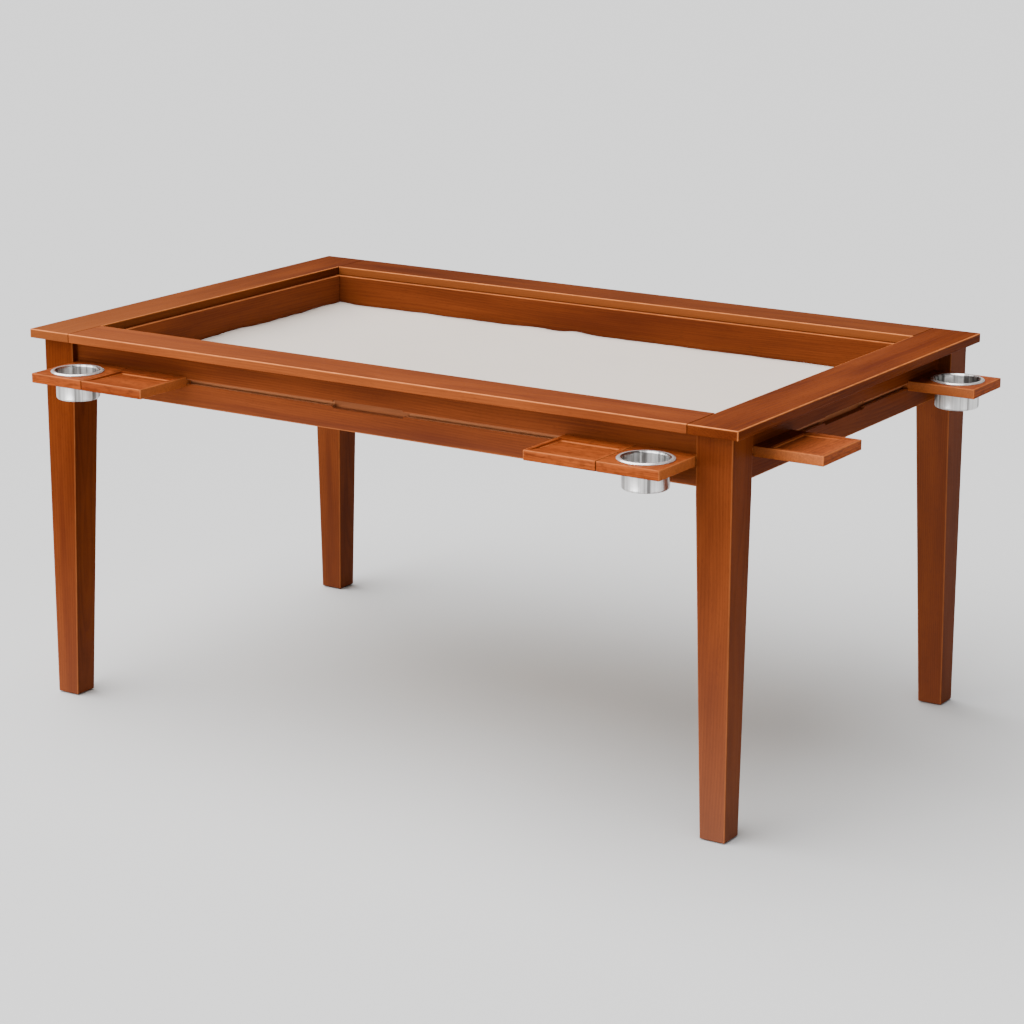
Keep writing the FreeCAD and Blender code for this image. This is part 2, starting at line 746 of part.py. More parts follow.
def make_glides():
    """Nylon glides: a disc let into each foot, with a rounded lower edge."""
    radius = number(size("glide_diameter")) / 2
    height = number(size("glide_stand") + size("glide_recess_depth"))
    solids = []
    for name, side_x, side_y, turn in CORNERS:
        across = (leg_outer_x - size("leg_foot_width") / 2) * side_x
        back = (leg_outer_y - size("leg_foot_width") / 2) * side_y
        disc = Part.makeCylinder(radius, height, vector(across, back))
        lower = [edge for edge in disc.Edges if edge.BoundBox.ZMax < height / 2]
        solids.append(disc.makeFillet(number(size("glide_round")), lower[:1]))
    group("leg_glides", solids)


def make_dowels():
    """Beech dowels: two at each apron end, and one from each leg up into the rim."""
    half = number(size("dowel_length")) / 2
    heights = (apron_bottom + low_dowel, apron_bottom + high_dowel)
    long_line = long_apron_face - size("apron_thickness") / 2
    end_line = end_apron_face - size("apron_thickness") / 2
    apron_dowels = []
    rim_dowels = []
    rim_dowel_start = rim_underside - size("rim_dowel_length") + size("rim_dowel_bite")
    for name, side_x, side_y, turn in CORNERS:
        for height in heights:
            along_x = vector(leg_inner_x * side_x, long_line * side_y, height) - vector(half, 0)
            apron_dowels.append(rod(along_x, vector(1, 0), size("dowel_diameter"), half * 2))
            along_y = vector(end_line * side_x, leg_inner_y * side_y, height) - vector(0, half)
            apron_dowels.append(rod(along_y, vector(0, 1), size("dowel_diameter"), half * 2))
        leg_middle = size("leg_top_width") / 2
        foot = vector((leg_outer_x - leg_middle) * side_x, (leg_outer_y - leg_middle) * side_y,
                      rim_dowel_start)
        rim_dowels.append(rod(foot, vector(0, 0, 1), size("rim_dowel_diameter"),
                              size("rim_dowel_length")))
    group("apron_dowels", apron_dowels)
    group("rim_dowels", rim_dowels)


def hexagon(middle, direction, flats, height):
    """A hexagonal bolt head that stands on its middle point along Y."""
    radius = number(flats) / math.sqrt(3)
    corners = [middle + FreeCAD.Vector(radius * math.cos(angle), 0, radius * math.sin(angle))
               for angle in (math.radians(60 * step) for step in range(7))]
    return Part.Face(Part.makePolygon(corners)).extrude(direction * number(height))


def make_bolts():
    """Hexagon bolts with washers, through the long walls into threaded inserts in the legs."""
    bolts = []
    washers = []
    inserts = []
    thread_gap = size("bolt_diameter") + size("dowel_gap") * 2
    for name, side_x, side_y, turn in CORNERS:
        outward = vector(0, side_y)
        for height in (apron_bottom + low_bolt, apron_bottom + high_bolt):
            wall_face = vector(bolt_place_x * side_x, long_wall_face * side_y, height)
            seat = wall_face - outward * number(size("washer_thickness"))
            shank = rod(seat, outward, size("bolt_diameter"), size("bolt_length"))
            head = hexagon(seat, outward * -1, size("bolt_head_flats"), size("bolt_head_height"))
            bolts.append(shank.fuse(head).removeSplitter().Solids[0])
            washers.append(ring(seat, outward, size("washer_diameter"), thread_gap,
                                size("washer_thickness")))
            leg_face = vector(bolt_place_x * side_x, leg_inner_y * side_y, height)
            inserts.append(ring(leg_face, outward, size("insert_diameter"), thread_gap,
                                size("insert_length")))
    group("leg_bolts", bolts)
    group("leg_bolt_washers", washers)
    group("leg_inserts", inserts)


def wood_screw(seat, direction, length):
    """A pan-head wood screw whose head sits on its seat and whose shank points along direction."""
    shank = rod(seat, direction, size("screw_diameter"), length)
    head = rod(seat, direction * -1, size("screw_head_diameter"), size("screw_head_height"))
    return shank.fuse(head).removeSplitter().Solids[0]


def angle_bracket():
    """A steel angle in the corner between an apron, on its -Y side, and the rim above it."""
    arm = number(size("bracket_arm"))
    length = number(size("bracket_length"))
    thick = number(size("bracket_thickness"))
    hole = number(size("screw_diameter") + size("bolt_gap"))
    hole_line = thick + number(size("bracket_hole_edge"))
    upright_arm = Part.makeBox(length, thick, arm, vector(-length / 2, 0, -arm))
    flat_arm = Part.makeBox(length, arm, thick, vector(-length / 2, 0, -thick))
    body = upright_arm.fuse(flat_arm).removeSplitter()
    body = body.cut(rod(vector(0, 0, -hole_line), vector(0, 1), hole, thick))
    return body.cut(rod(vector(0, hole_line, -thick), vector(0, 0, 1), hole, thick)).Solids[0]


def make_brackets():
    """Angles that hold the rim down on the aprons, each with one screw in either board."""
    brackets = []
    screws = []
    thick = number(size("bracket_thickness"))
    hole_line = thick + number(size("bracket_hole_edge"))
    long_pitch = number(size("long_bracket_pitch"))
    end_pitch = number(size("end_bracket_pitch"))
    sides = (
        (0, long_apron_back, (-long_pitch, 0, long_pitch)),
        (180, long_apron_back, (-long_pitch, 0, long_pitch)),
        (90, end_apron_back, (-end_pitch / 2, end_pitch / 2)),
        (270, end_apron_back, (-end_pitch / 2, end_pitch / 2)),
    )
    into_apron = wood_screw(vector(0, thick, -hole_line), vector(0, -1), size("bracket_screw_length"))
    into_rim = wood_screw(vector(0, hole_line, -thick), vector(0, 0, 1), size("bracket_screw_length"))
    for turn, apron_back, places in sides:
        spin = FreeCAD.Rotation(vector(0, 0, 1), turn)
        for along in places:
            corner = spin.multVec(vector(along, -number(apron_back))) + vector(0, 0, rim_underside)
            spot = FreeCAD.Placement(corner, spin)
            brackets.append(angle_bracket().transformed(spot.Matrix))
            screws.append(into_apron.transformed(spot.Matrix))
            screws.append(into_rim.transformed(spot.Matrix))
    group("rim_brackets", brackets)
    group("bracket_screws", screws)


def make_bearer_screws():
    """Wood screws through the bearers into the walls of the play area."""
    height = bearer_bottom + size("bearer_height") / 2
    solids = []
    sides = (
        (0, long_wall_face, True), (180, long_wall_face, True),
        (90, end_wall_face, False), (270, end_wall_face, False),
    )
    for turn, wall_face, is_long in sides:
        spin = FreeCAD.Rotation(vector(0, 0, 1), turn)
        for along in screw_places_on(is_long):
            seat = vector(along, size("bearer_width") - wall_face, height)
            solids.append(wood_screw(spin.multVec(seat), spin.multVec(vector(0, -1)),
                                     size("bearer_screw_length")))
    group("bearer_screws", solids)


def check_model():
    """Stops before anything is written if a feature failed or a shape isn't sound."""
    for item in doc.Objects:
        if "Invalid" in item.State or "Error" in item.State:
            raise RuntimeError(f"{item.Name} failed: {item.State}")
    for label, piece in pieces.items():
        if piece.Shape.isNull() or not piece.Shape.isValid():
            raise RuntimeError(f"{label} has no sound shape")


for corner_name, corner_x, corner_y, corner_turn in CORNERS:
    make_leg(corner_name, corner_x, corner_y, corner_turn)
make_glides()
make_aprons()
make_rim()
make_walls()
make_bearers()
make_floor()
make_dowels()
make_bolts()
make_brackets()
make_bearer_screws()
make_accessories()
doc.recompute()
check_model()

os.makedirs("parts", exist_ok=True)
for node_name, node_piece in pieces.items():
    node_piece.Shape.exportStep(f"parts/{node_name}.step")
    print(f"{node_name}: {len(node_piece.Shape.Solids)} solid(s), {node_piece.Shape.Volume / 1000:.1f} cm3")
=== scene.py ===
import math

import bmesh
import bpy
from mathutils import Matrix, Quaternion, Vector, noise


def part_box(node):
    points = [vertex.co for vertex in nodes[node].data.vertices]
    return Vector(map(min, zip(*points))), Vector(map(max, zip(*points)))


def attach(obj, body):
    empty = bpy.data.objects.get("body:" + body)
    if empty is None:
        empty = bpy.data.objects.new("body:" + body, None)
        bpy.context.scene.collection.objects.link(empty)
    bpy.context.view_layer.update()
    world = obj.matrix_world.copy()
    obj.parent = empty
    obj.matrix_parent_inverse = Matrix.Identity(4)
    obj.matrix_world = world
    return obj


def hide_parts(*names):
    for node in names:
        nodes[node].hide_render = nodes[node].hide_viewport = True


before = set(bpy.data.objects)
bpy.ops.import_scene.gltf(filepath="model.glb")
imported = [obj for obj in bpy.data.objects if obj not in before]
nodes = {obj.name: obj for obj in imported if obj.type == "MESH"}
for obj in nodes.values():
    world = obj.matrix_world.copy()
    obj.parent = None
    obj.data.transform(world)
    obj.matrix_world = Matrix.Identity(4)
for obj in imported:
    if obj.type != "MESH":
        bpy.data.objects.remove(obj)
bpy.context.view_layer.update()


# Legs. Each is glued up square from one hardwood, with its grain upright, and tapered on the two
# inner faces. They are stained a reddish brown and sprayed with a satin lacquer. Along the
# arrises the wood is painted lighter: the stain is rubbed thin there, and a painted highlight
# stands for the light that the rounded edges catch.

class Wire:
    """One output of a node. Sums and products of such values add Math nodes to the tree."""

    def __init__(self, tree, socket=None):
        self.tree = tree
        self.socket = socket

    def node(self, kind, settings=None, inputs=None, output=0):
        """Adds a node: its settings first, then the values or links of its sockets. A list puts
        several links into one socket."""
        made = self.tree.nodes.new(kind)
        for name, value in (settings or {}).items():
            setattr(made, name, value)
        for name, value in (inputs or {}).items():
            for item in value if isinstance(value, list) else [value]:
                if isinstance(item, Wire):
                    self.tree.links.new(item.socket, made.inputs[name])
                else:
                    made.inputs[name].default_value = item
        return Wire(self.tree, made.outputs[output])

    def math(self, operation, *values):
        return self.node("ShaderNodeMath", {"operation": operation}, dict(enumerate(values)))

    def __add__(self, other):
        return self.math("ADD", self, other)

    def __sub__(self, other):
        return self.math("SUBTRACT", self, other)

    def __rsub__(self, other):
        return self.math("SUBTRACT", other, self)

    def __mul__(self, other):
        return self.math("MULTIPLY", self, other)

    def __truediv__(self, other):
        return self.math("DIVIDE", self, other)

    def __neg__(self):
        return self.math("MULTIPLY", self, -1)

    def __abs__(self):
        return self.math("ABSOLUTE", self)

    __radd__ = __add__
    __rmul__ = __mul__

    def at_least(self, other):
        return self.math("MAXIMUM", self, other)

    def at_most(self, other):
        return self.math("MINIMUM", self, other)

    def ramp(self, low, high):
        """Rises smoothly from 0 to 1 as this value goes from low to high."""
        return self.node("ShaderNodeMapRange", {"interpolation_type": "SMOOTHSTEP"},
                         {"Value": self, "From Min": low, "From Max": high})

    def mixed(self, first, second):
        """The first colour where this value is 0, the second where it is 1."""
        return self.node("ShaderNodeMix", {"data_type": "RGBA"},
                         {0: self, 6: first, 7: second}, output=2)

    def vector(self, operation, *values, output=0):
        return self.node("ShaderNodeVectorMath", {"operation": operation},
                         dict(enumerate(values)), output)

    def noise(self, spots, detail):
        """Soft random spots, from 0 to 1: so many to a metre, every way or along each axis."""
        spots = spots if isinstance(spots, tuple) else (spots, spots, spots)
        place = self.vector("MULTIPLY", self, spots)
        return place.node("ShaderNodeTexNoise", {}, {0: place, "Scale": 1.0, "Detail": detail})

    def axes(self):
        """The three coordinates of a place or a direction."""
        parts = self.tree.nodes.new("ShaderNodeSeparateXYZ")
        self.tree.links.new(self.socket, parts.inputs[0])
        return [Wire(self.tree, parts.outputs[axis]) for axis in "XYZ"]

    def facing(self):
        """How far the surface faces along each axis of the table, from -1 to 1."""
        return self.node("ShaderNodeTexCoord", output="Normal").axes()


def new_surface(name):
    """An empty material, its shader, and the place on the piece in metres."""
    material = bpy.data.materials.new(name)
    material.use_nodes = True
    tree = material.node_tree
    place = Wire(tree).node("ShaderNodeTexCoord", output="Object")
    return material, tree.nodes["Principled BSDF"], place


def connect(shader, inputs, relief=None, height=0.0):
    """Sets or links a shader's inputs, with the relief as a bump of that height in metres."""
    tree = shader.id_data
    for name, value in inputs.items():
        if isinstance(value, Wire):
            tree.links.new(value.socket, shader.inputs[name])
        else:
            shader.inputs[name].default_value = value
    if relief is not None:
        bump = relief.node("ShaderNodeBump", {}, {"Height": relief, "Distance": height})
        tree.links.new(bump.socket, shader.inputs["Normal"])


def smallest(values):
    least = values[0]
    for value in values[1:]:
        least = least.at_most(value)
    return least


def box_sides(place, node):
    """How deep a place lies under each side of the box round a piece."""
    low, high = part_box(node)
    x, y, z = place.axes()
    return {"left": x - low.x, "right": high.x - x, "front": y - low.y, "back": high.y - y,
            "under": z - low.z, "top": high.z - z}


# The spots of the grain to a metre, first along the board and then the two ways across it.
WANDER_SPOTS = (0.9, 6, 6)
FIBRE_SPOTS = (6, 480, 480)
PATCH_SPOTS = (3.2, 17, 17)
PORE_SPOTS = (75, 1250, 1250)
RINGS_PER_METRE = 190
RING_WANDER = 16
PITH_ASIDE = 0.05
PITH_BELOW = 0.11
PITH_SPREAD = 0.03
BOARD_STEPS = (3.7, 1.31, 0.59)
GRAIN_TURNS = {"X": (0, 0, 0), "Y": (0, 0, -math.pi / 2), "Z": (0, math.pi / 2, 0)}


class Grain:
    """The grain of a board cut along one axis, beside the pith of its log: growth rings, fine
    fibres, broad patches and pores. The ends of the fibres show on its butt ends. Each seed
    gives another board."""

    def __init__(self, place, node, along, seed):
        low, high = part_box(node)
        turned = place.node("ShaderNodeMapping", {}, {
            "Vector": place.vector("SUBTRACT", place, (low + high) / 2),
            "Rotation": GRAIN_TURNS[along]})
        self.place = turned.vector("ADD", turned, tuple(seed * step for step in BOARD_STEPS))
        pith = (0, PITH_ASIDE * math.sin(seed * 5), PITH_BELOW + PITH_SPREAD * math.cos(seed * 3))
        across = turned.vector("MULTIPLY_ADD", turned, (0, 1, 1), pith)
        rings = across.vector("LENGTH", across, output="Value") * RINGS_PER_METRE
        rings = rings + self.place.noise(WANDER_SPOTS, 2) * RING_WANDER
        ring = rings.math("FRACT", rings)
        self.late_wood = ring.ramp(0.2, 0.9) - ring.ramp(0.9, 1.0)
        self.fibre = self.place.noise(FIBRE_SPOTS, 3)
        self.patch = self.place.noise(PATCH_SPOTS, 4)
        self.pores = self.place.noise(PORE_SPOTS, 1).ramp(0.61, 0.72)
        facing = place.facing()["XYZ".index(along)]
        self.butt_end = (facing * facing).ramp(0.4, 0.9)


def tinted(colour, amount):
    return tuple(channel * amount for channel in colour[:3]) + (1,)


STAIN_DARK = (0.080, 0.0118, 0.0016, 1)
STAIN_LIGHT = (0.196, 0.0405, 0.0066, 1)
STAIN_RED = (0.070, 0.0085, 0.0018, 1)
STAIN_WORN_AND_LIT = (0.620, 0.1950, 0.0560, 1)
PORE_DARK = (0.032, 0.0055, 0.0015, 1)
PAINTED_SHEEN = (0.420, 0.210, 0.140, 1)
LATE_WOOD_SHARE = 0.12
STREAK_SPOTS = (1.5, 34, 34)
STREAK_SHARE = 0.46
PORE_SHARE = 0.42
MOTTLE_SPOTS = (60, 190, 190)
BUTT_END_SHARE = 0.25
WEAR_SPOTS = 26
ARRIS_REACH = 0.0030
JOINT_DARK_WIDTH = 0.0018
JOINT_DARK_SHARE = 0.85
OPPOSITE = {"left": "right", "right": "left", "front": "back", "back": "front"}


def stained_wood(node, along, seed, stain, arrises, wear_and_light, seams=(), sides=box_sides,
                 groove=None, foot_highlight=None, sheen_shares=(0.0, 0.0), ends=PORE_DARK, front=0.0,
                 fleck=0.6, mottle=0.0, light_toward=None):
    """Stained and lacquered hardwood, with its grain along one axis of the table.

    stain: how light the stained wood is painted, partly its tone and partly painted light and
    shade
    arrises, wear_and_light: pairs of sides that meet in the open, and how far their edges are
    painted lighter, for stain rubbed thin and a painted highlight
    seams: sides that meet another piece, where the edge is painted darker along the joint
    groove, foot_highlight: where dust and painted light pale a groove's walls, and where a
    highlight is painted along the foot of a tray's walls
    sheen_shares: how much pale colour is painted on as a sheen, a painted reflection of the floor
    and the room, at the bottom and at the top
    ends: the colour that the butt ends take up
    front: how strongly the face that looks to the front is painted lighter, as painted light
    fleck, mottle: how strongly the fibres and the dark flecks show
    light_toward: the end that painted light grows towards along the board, and how strongly
    """
    material, shader, place = new_surface(f"stained wood, {node}")
    grain = Grain(place, node, along, seed)
    gaps = sides(place, node)
    tone = grain.patch + (grain.fibre - 0.5) * fleck - (grain.late_wood - 0.5) * LATE_WOOD_SHARE
    colour = tone.ramp(0.0, 1.0).mixed(tinted(STAIN_DARK, stain), tinted(STAIN_LIGHT, stain))
    streaks = grain.place.noise(STREAK_SPOTS, 3).ramp(0.53, 0.72)
    colour = (streaks * STREAK_SHARE).mixed(colour, tinted(STAIN_RED, stain))
    colour = (grain.pores * PORE_SHARE).mixed(colour, PORE_DARK)
    if mottle:
        flecks = grain.place.noise(MOTTLE_SPOTS, 2).ramp(0.48, 0.64)
        colour = (flecks * mottle).mixed(colour, PORE_DARK)
    colour = (grain.butt_end * BUTT_END_SHARE).mixed(colour, ends)
    # Painted light: the face that looks to the front is painted lighter, as if more light fell on
    # it.
    if front:
        forward = (-place.facing()[1]).ramp(0.4, 0.9)
        colour = (forward * front).mixed(colour, STAIN_WORN_AND_LIT)
    # A painted sheen: a pale colour mixed in, graded from the bottom to the top, as a painted
    # reflection of the floor and the room.
    if max(sheen_shares) > 0:
        below_top = gaps["top"] / (gaps["under"] + gaps["top"])
        dull = below_top * below_top * (sheen_shares[0] - sheen_shares[1]) + sheen_shares[1]
        colour = dull.mixed(colour, PAINTED_SHEEN)
    # Painted light: the board is painted lighter towards one end, as if more light fell there.
    if light_toward:
        end, share = light_toward
        near_end = gaps[OPPOSITE[end]] / (gaps[end] + gaps[OPPOSITE[end]])
        colour = (near_end * share).mixed(colour, STAIN_WORN_AND_LIT)
    # The arrises are painted lighter: partly stain rubbed thin, partly a painted highlight where
    # the rounded edges catch the light.
    from_arris = smallest([gaps[one].at_least(gaps[other]) for one, other in arrises])
    worn_and_lit = 1 - from_arris.ramp(0.0, ARRIS_REACH)
    worn_and_lit = worn_and_lit * (0.35 + grain.place.noise(WEAR_SPOTS, 2) * 0.9) * wear_and_light
    colour = worn_and_lit.mixed(colour, STAIN_WORN_AND_LIT)
    if seams:
        # The edges where a piece meets another are painted darker along the joint.
        joint_dark = 1 - smallest([gaps[side] for side in seams]).ramp(0.0, JOINT_DARK_WIDTH)
        colour = (joint_dark * JOINT_DARK_SHARE).mixed(colour, PORE_DARK)
    if groove:
        # The groove's walls are painted paler: dust, and painted light where the groove lies in
        # shade.
        colour = groove(place).mixed(colour, GROOVE_DUST_AND_LIGHT)
    if foot_highlight:
        # A painted highlight along the foot of a tray's walls, where the cove would catch the
        # light.
        colour = foot_highlight(place).mixed(colour, STAIN_WORN_AND_LIT)
    connect(shader, {
        "Base Color": colour,
        "Roughness": 0.35 + grain.fibre * 0.10 + grain.pores * 0.12,
        "Specular IOR Level": 0.01,
    }, relief=grain.fibre * 0.5 - grain.pores - grain.late_wood * 0.3, height=0.00005)
    return material


def dress(node, material):
    """Gives all of a piece's surfaces one material."""
    for slot in nodes[node].material_slots:
        slot.material = material


LEG_FOOT_WIDTH = 0.051
LEG_TAPER = 0.021
LEG_TAPER_HEIGHT = 0.630


def leg_sides(place, node):
    """The gaps to a leg's four sides, whose two inner ones lean in towards the foot."""
    gaps = box_sides(place, node)
    width = (gaps["under"] / LEG_TAPER_HEIGHT).at_most(1) * LEG_TAPER + LEG_FOOT_WIDTH
    outer_x, inner_x = ("left", "right") if node.endswith("left") else ("right", "left")
    outer_y, inner_y = ("front", "back") if "front" in node else ("back", "front")
    gaps[inner_x] = width - gaps[outer_x]
    gaps[inner_y] = width - gaps[outer_y]
    return gaps


UPRIGHT_ARRISES = [("left", "front"), ("front", "right"), ("right", "back"), ("back", "left")]
# How light each leg is painted, partly its tone and partly painted light and shade, and how much
# painted sheen it has at the foot and at the top.
LEG_STAIN_AND_LIGHT = {"front_left": 0.73, "front_right": 0.70, "back_right": 0.68, "back_left": 0.62}
LEG_SHEEN = {"front_left": (0.07, 0.0), "front_right": (0.14, 0.01), "back_right": (0.06, 0.05),
            "back_left": (0.05, 0.03)}
for number, corner in enumerate(LEG_STAIN_AND_LIGHT):
    leg = f"leg_{corner}"
    dress(leg, stained_wood(
        leg, "Z", seed=3.1 + number, stain=LEG_STAIN_AND_LIGHT[corner], arrises=UPRIGHT_ARRISES, wear_and_light=0.30,
        sides=leg_sides, sheen_shares=LEG_SHEEN[corner], fleck=0.3))


# Glides. A disc of black nylon is let into each foot and pressed home, so that the end grain
# stands clear of a damp floor. Moulding leaves its face finely pitted.

NYLON_BLACK = (0.022, 0.022, 0.024, 1)
NYLON_SCUFFED = (0.090, 0.088, 0.085, 1)
nylon, shader, place = new_surface("black nylon")
scuffs = place.noise(90, 4).ramp(0.5, 0.8)
pits = place.noise(1500, 2)
connect(shader, {
    "Base Color": scuffs.mixed(NYLON_BLACK, NYLON_SCUFFED),
    "Roughness": 0.45 + scuffs * 0.25,
    "Specular IOR Level": 0.4,
}, relief=pits, height=0.00008)
dress("leg_glides", nylon)


# Aprons. A grooved board between each pair of legs, with its grain along the table, dowelled
# into the legs. The T-shaped groove is milled after staining, and its walls are painted paler,
# for bare wood with dust in it and as painted light where the narrow groove lies in shade.

GROOVE_MIDDLE = 0.692
GROOVE_HALF = 0.008
GROOVE_DEPTH = 0.014
MOUTH_TOP = 0.696
MOUTH_EASED = 0.0024
ENTRY_HALF = 0.086
GROOVE_DUST_AND_LIGHT = (0.340, 0.125, 0.052, 1)
ENTRY_DUST_AND_LIGHT = {"front": 0.38, "back": 0.38, "right": 0.60, "left": 0.60}
EASED_HIGHLIGHT = {"front": 0.20, "back": 0.20, "right": 0.50, "left": 0.50}
# How much painted sheen, a painted reflection, each apron has at the bottom and at the top.
APRON_SHEEN = {"front": (0.05, 0.02), "back": (0.05, 0.02), "right": (0.01, 0.0),
              "left": (0.01, 0.0)}


def groove_dust_and_light(side, node, along):
    """The share of pale colour on the walls of the groove behind one side of an apron, for dust
    and for painted light where the groove lies in shade; the wide entry in its middle takes less.
    The eased edge over the mouth gets a painted highlight."""
    def mask(place):
        low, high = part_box(node)
        axis = "XYZ".index(along)
        height = place.axes()[2]
        gap = box_sides(place, node)[side]
        behind_face = gap.ramp(0.0004, 0.0014)
        from_centre = abs(place.axes()[axis] - (low[axis] + high[axis]) / 2)
        entry = 1 - from_centre.ramp(ENTRY_HALF - 0.001, ENTRY_HALF + 0.001)
        from_middle = abs(height - GROOVE_MIDDLE)
        inside = 1 - from_middle.ramp(GROOVE_HALF - 0.0002, GROOVE_HALF + 0.0004)
        inside = inside * behind_face * (1 - gap.ramp(GROOVE_DEPTH, GROOVE_DEPTH + 0.002))
        # A painted highlight along the eased edge over the mouth.
        eased_top = MOUTH_TOP + MOUTH_EASED
        eased = height.ramp(MOUTH_TOP - 0.0004, MOUTH_TOP)
        eased = eased * (1 - height.ramp(eased_top - 0.0006, eased_top)) * (1 - behind_face)
        return inside * (1 - entry * (1 - ENTRY_DUST_AND_LIGHT[side])) + eased * EASED_HIGHLIGHT[side]
    return mask


for number, side in enumerate(APRON_SHEEN):
    apron = f"apron_{side}"
    along = "X" if side in ("front", "back") else "Y"
    faces = ("front", "back") if along == "X" else ("left", "right")
    dress(apron, stained_wood(
        apron, along, seed=11.3 + number, stain=0.70, arrises=[(face, "under") for face in faces],
        wear_and_light=0.35, groove=groove_dust_and_light(side, apron, along), sheen_shares=APRON_SHEEN[side]))


# Dowels. Fluted beech, two in each end of every apron and one up through each corner of the
# rim. The flutes let the glue run along the hole, and the chamfered ends start the dowel.

BEECH_PALE = (0.600, 0.380, 0.210, 1)
BEECH_DARK = (0.420, 0.230, 0.110, 1)
DOWEL_LENGTH = 0.040
DOWEL_CHAMFER = 0.0016
DOWEL_STATIONS = 25
FLUTES = 20
# Shares of the dowel's diameter: at its tips, and at the foot of a flute.
DOWEL_TIP = 0.8
FLUTE_FOOT = 0.46


def bare_wood(node, along, seed, pale, dark, rings=0.5):
    """Planed wood without stain or lacquer, with growth rings of that contrast."""
    material, shader, place = new_surface(f"bare wood, {node}")
    grain = Grain(place, node, along, seed)
    tone = grain.late_wood * rings + grain.fibre * 0.35 + grain.patch * 0.3
    tone = tone + grain.butt_end * BUTT_END_SHARE
    connect(shader, {
        "Base Color": tone.ramp(0.2, 1.1).mixed(pale, dark),
        "Roughness": 0.62 + grain.fibre * 0.15,
        "Specular IOR Level": 0.2,
    }, relief=grain.fibre - grain.late_wood * (rings * 0.8), height=0.00012)
    return material


def new_tree(name, sizes):
    """A Geometry Nodes tree that takes points, named sizes and a material."""
    tree = bpy.data.node_groups.new(name, "GeometryNodeTree")
    tree.interface.new_socket("Points", in_out="INPUT", socket_type="NodeSocketGeometry")
    for size in sizes:
        tree.interface.new_socket(size, in_out="INPUT", socket_type="NodeSocketFloat")
    tree.interface.new_socket("Material", in_out="INPUT", socket_type="NodeSocketMaterial")
    tree.interface.new_socket("Pieces", in_out="OUTPUT", socket_type="NodeSocketGeometry")
    start = tree.nodes.new("NodeGroupInput")
    return [Wire(tree, start.outputs[name]) for name in ["Points", *sizes, "Material"]]


def moved(shape, z=0.0, turn=(0, 0, 0)):
    """A shape turned about the origin and then raised."""
    offset = shape.node("ShaderNodeCombineXYZ", {}, {"Z": z})
    return shape.node("GeometryNodeTransform", {}, {
        "Geometry": shape, "Translation": offset, "Rotation": turn})


def end_tree(points, shape, material):
    """Sets the shape on every point, turned to the point's direction, as plain mesh."""
    direction = shape.node("GeometryNodeInputNamedAttribute", {"data_type": "FLOAT_VECTOR"},
                           {"Name": "direction"})
    turn = shape.node("FunctionNodeAlignRotationToVector", {"axis": "Z"}, {"Vector": direction})
    placed = shape.node("GeometryNodeInstanceOnPoints", {}, {
        "Points": points, "Instance": shape, "Rotation": turn})
    real = shape.node("GeometryNodeRealizeInstances", {}, {"Geometry": placed})
    dressed = shape.node("GeometryNodeSetMaterial", {}, {"Geometry": real, "Material": material})
    end = shape.tree.nodes.new("NodeGroupOutput")
    shape.tree.links.new(dressed.socket, end.inputs["Pieces"])


def loose_pieces(node):
    """The corners of each separate piece in a CAD node, from a merged copy of its mesh."""
    copy = bmesh.new()
    copy.from_mesh(nodes[node].data)
    bmesh.ops.remove_doubles(copy, verts=copy.verts, dist=0.000001)
    copy.verts.index_update()
    seen = set()
    pieces = []
    for first in copy.verts:
        if first.index in seen:
            continue
        seen.add(first.index)
        waiting = [first]
        corners = []
        while waiting:
            corner = waiting.pop()
            corners.append(corner.co.copy())
            for edge in corner.link_edges:
                other = edge.other_vert(corner)
                if other.index not in seen:
                    seen.add(other.index)
                    waiting.append(other)
        pieces.append(corners)
    copy.free()
    return pieces


def fixings(node, head_height=0.0):
    """For each fixing in a node, the seat of its head, or its middle if it has none, and the
    way from its tip to its head. The corner furthest from its axis is on the head."""
    for corners in loose_pieces(node):
        low = Vector([min(corner[axis] for corner in corners) for axis in range(3)])
        high = Vector([max(corner[axis] for corner in corners) for axis in range(3)])
        middle = (low + high) / 2
        length = max(high - low)
        way = Vector([1.0 if size == length else 0.0 for size in high - low])
        if not head_height:
            yield middle, way
            continue
        widest = max(corners, key=lambda corner: (corner - middle).cross(way).length)
        if (widest - middle).dot(way) < 0:
            way = -way
        yield middle + way * (length / 2 - head_height), way


def run_tree(name, tree, node, places, sizes, material):
    """Runs a tree on some places and puts its plain mesh in a CAD node's stead."""
    places = list(places)
    points = bpy.data.meshes.new(f"{name}_points")
    points.from_pydata([place for place, way in places], [], [])
    direction = points.attributes.new("direction", "FLOAT_VECTOR", "POINT")
    for item, (place, way) in zip(direction.data, places):
        item.vector = way
    piece = bpy.data.objects.new(name, points)
    bpy.context.scene.collection.objects.link(piece)
    modifier = piece.modifiers.new(name, "NODES")
    modifier.node_group = tree
    for socket in tree.interface.items_tree:
        if socket.name in sizes:
            modifier[socket.identifier] = sizes[socket.name]
        if socket.name == "Material":
            modifier[socket.identifier] = material
    depsgraph = bpy.context.evaluated_depsgraph_get()
    mesh = bpy.data.meshes.new_from_object(piece.evaluated_get(depsgraph))
    piece.modifiers.remove(modifier)
    piece.data = mesh
    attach(piece, "table")
    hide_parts(node)


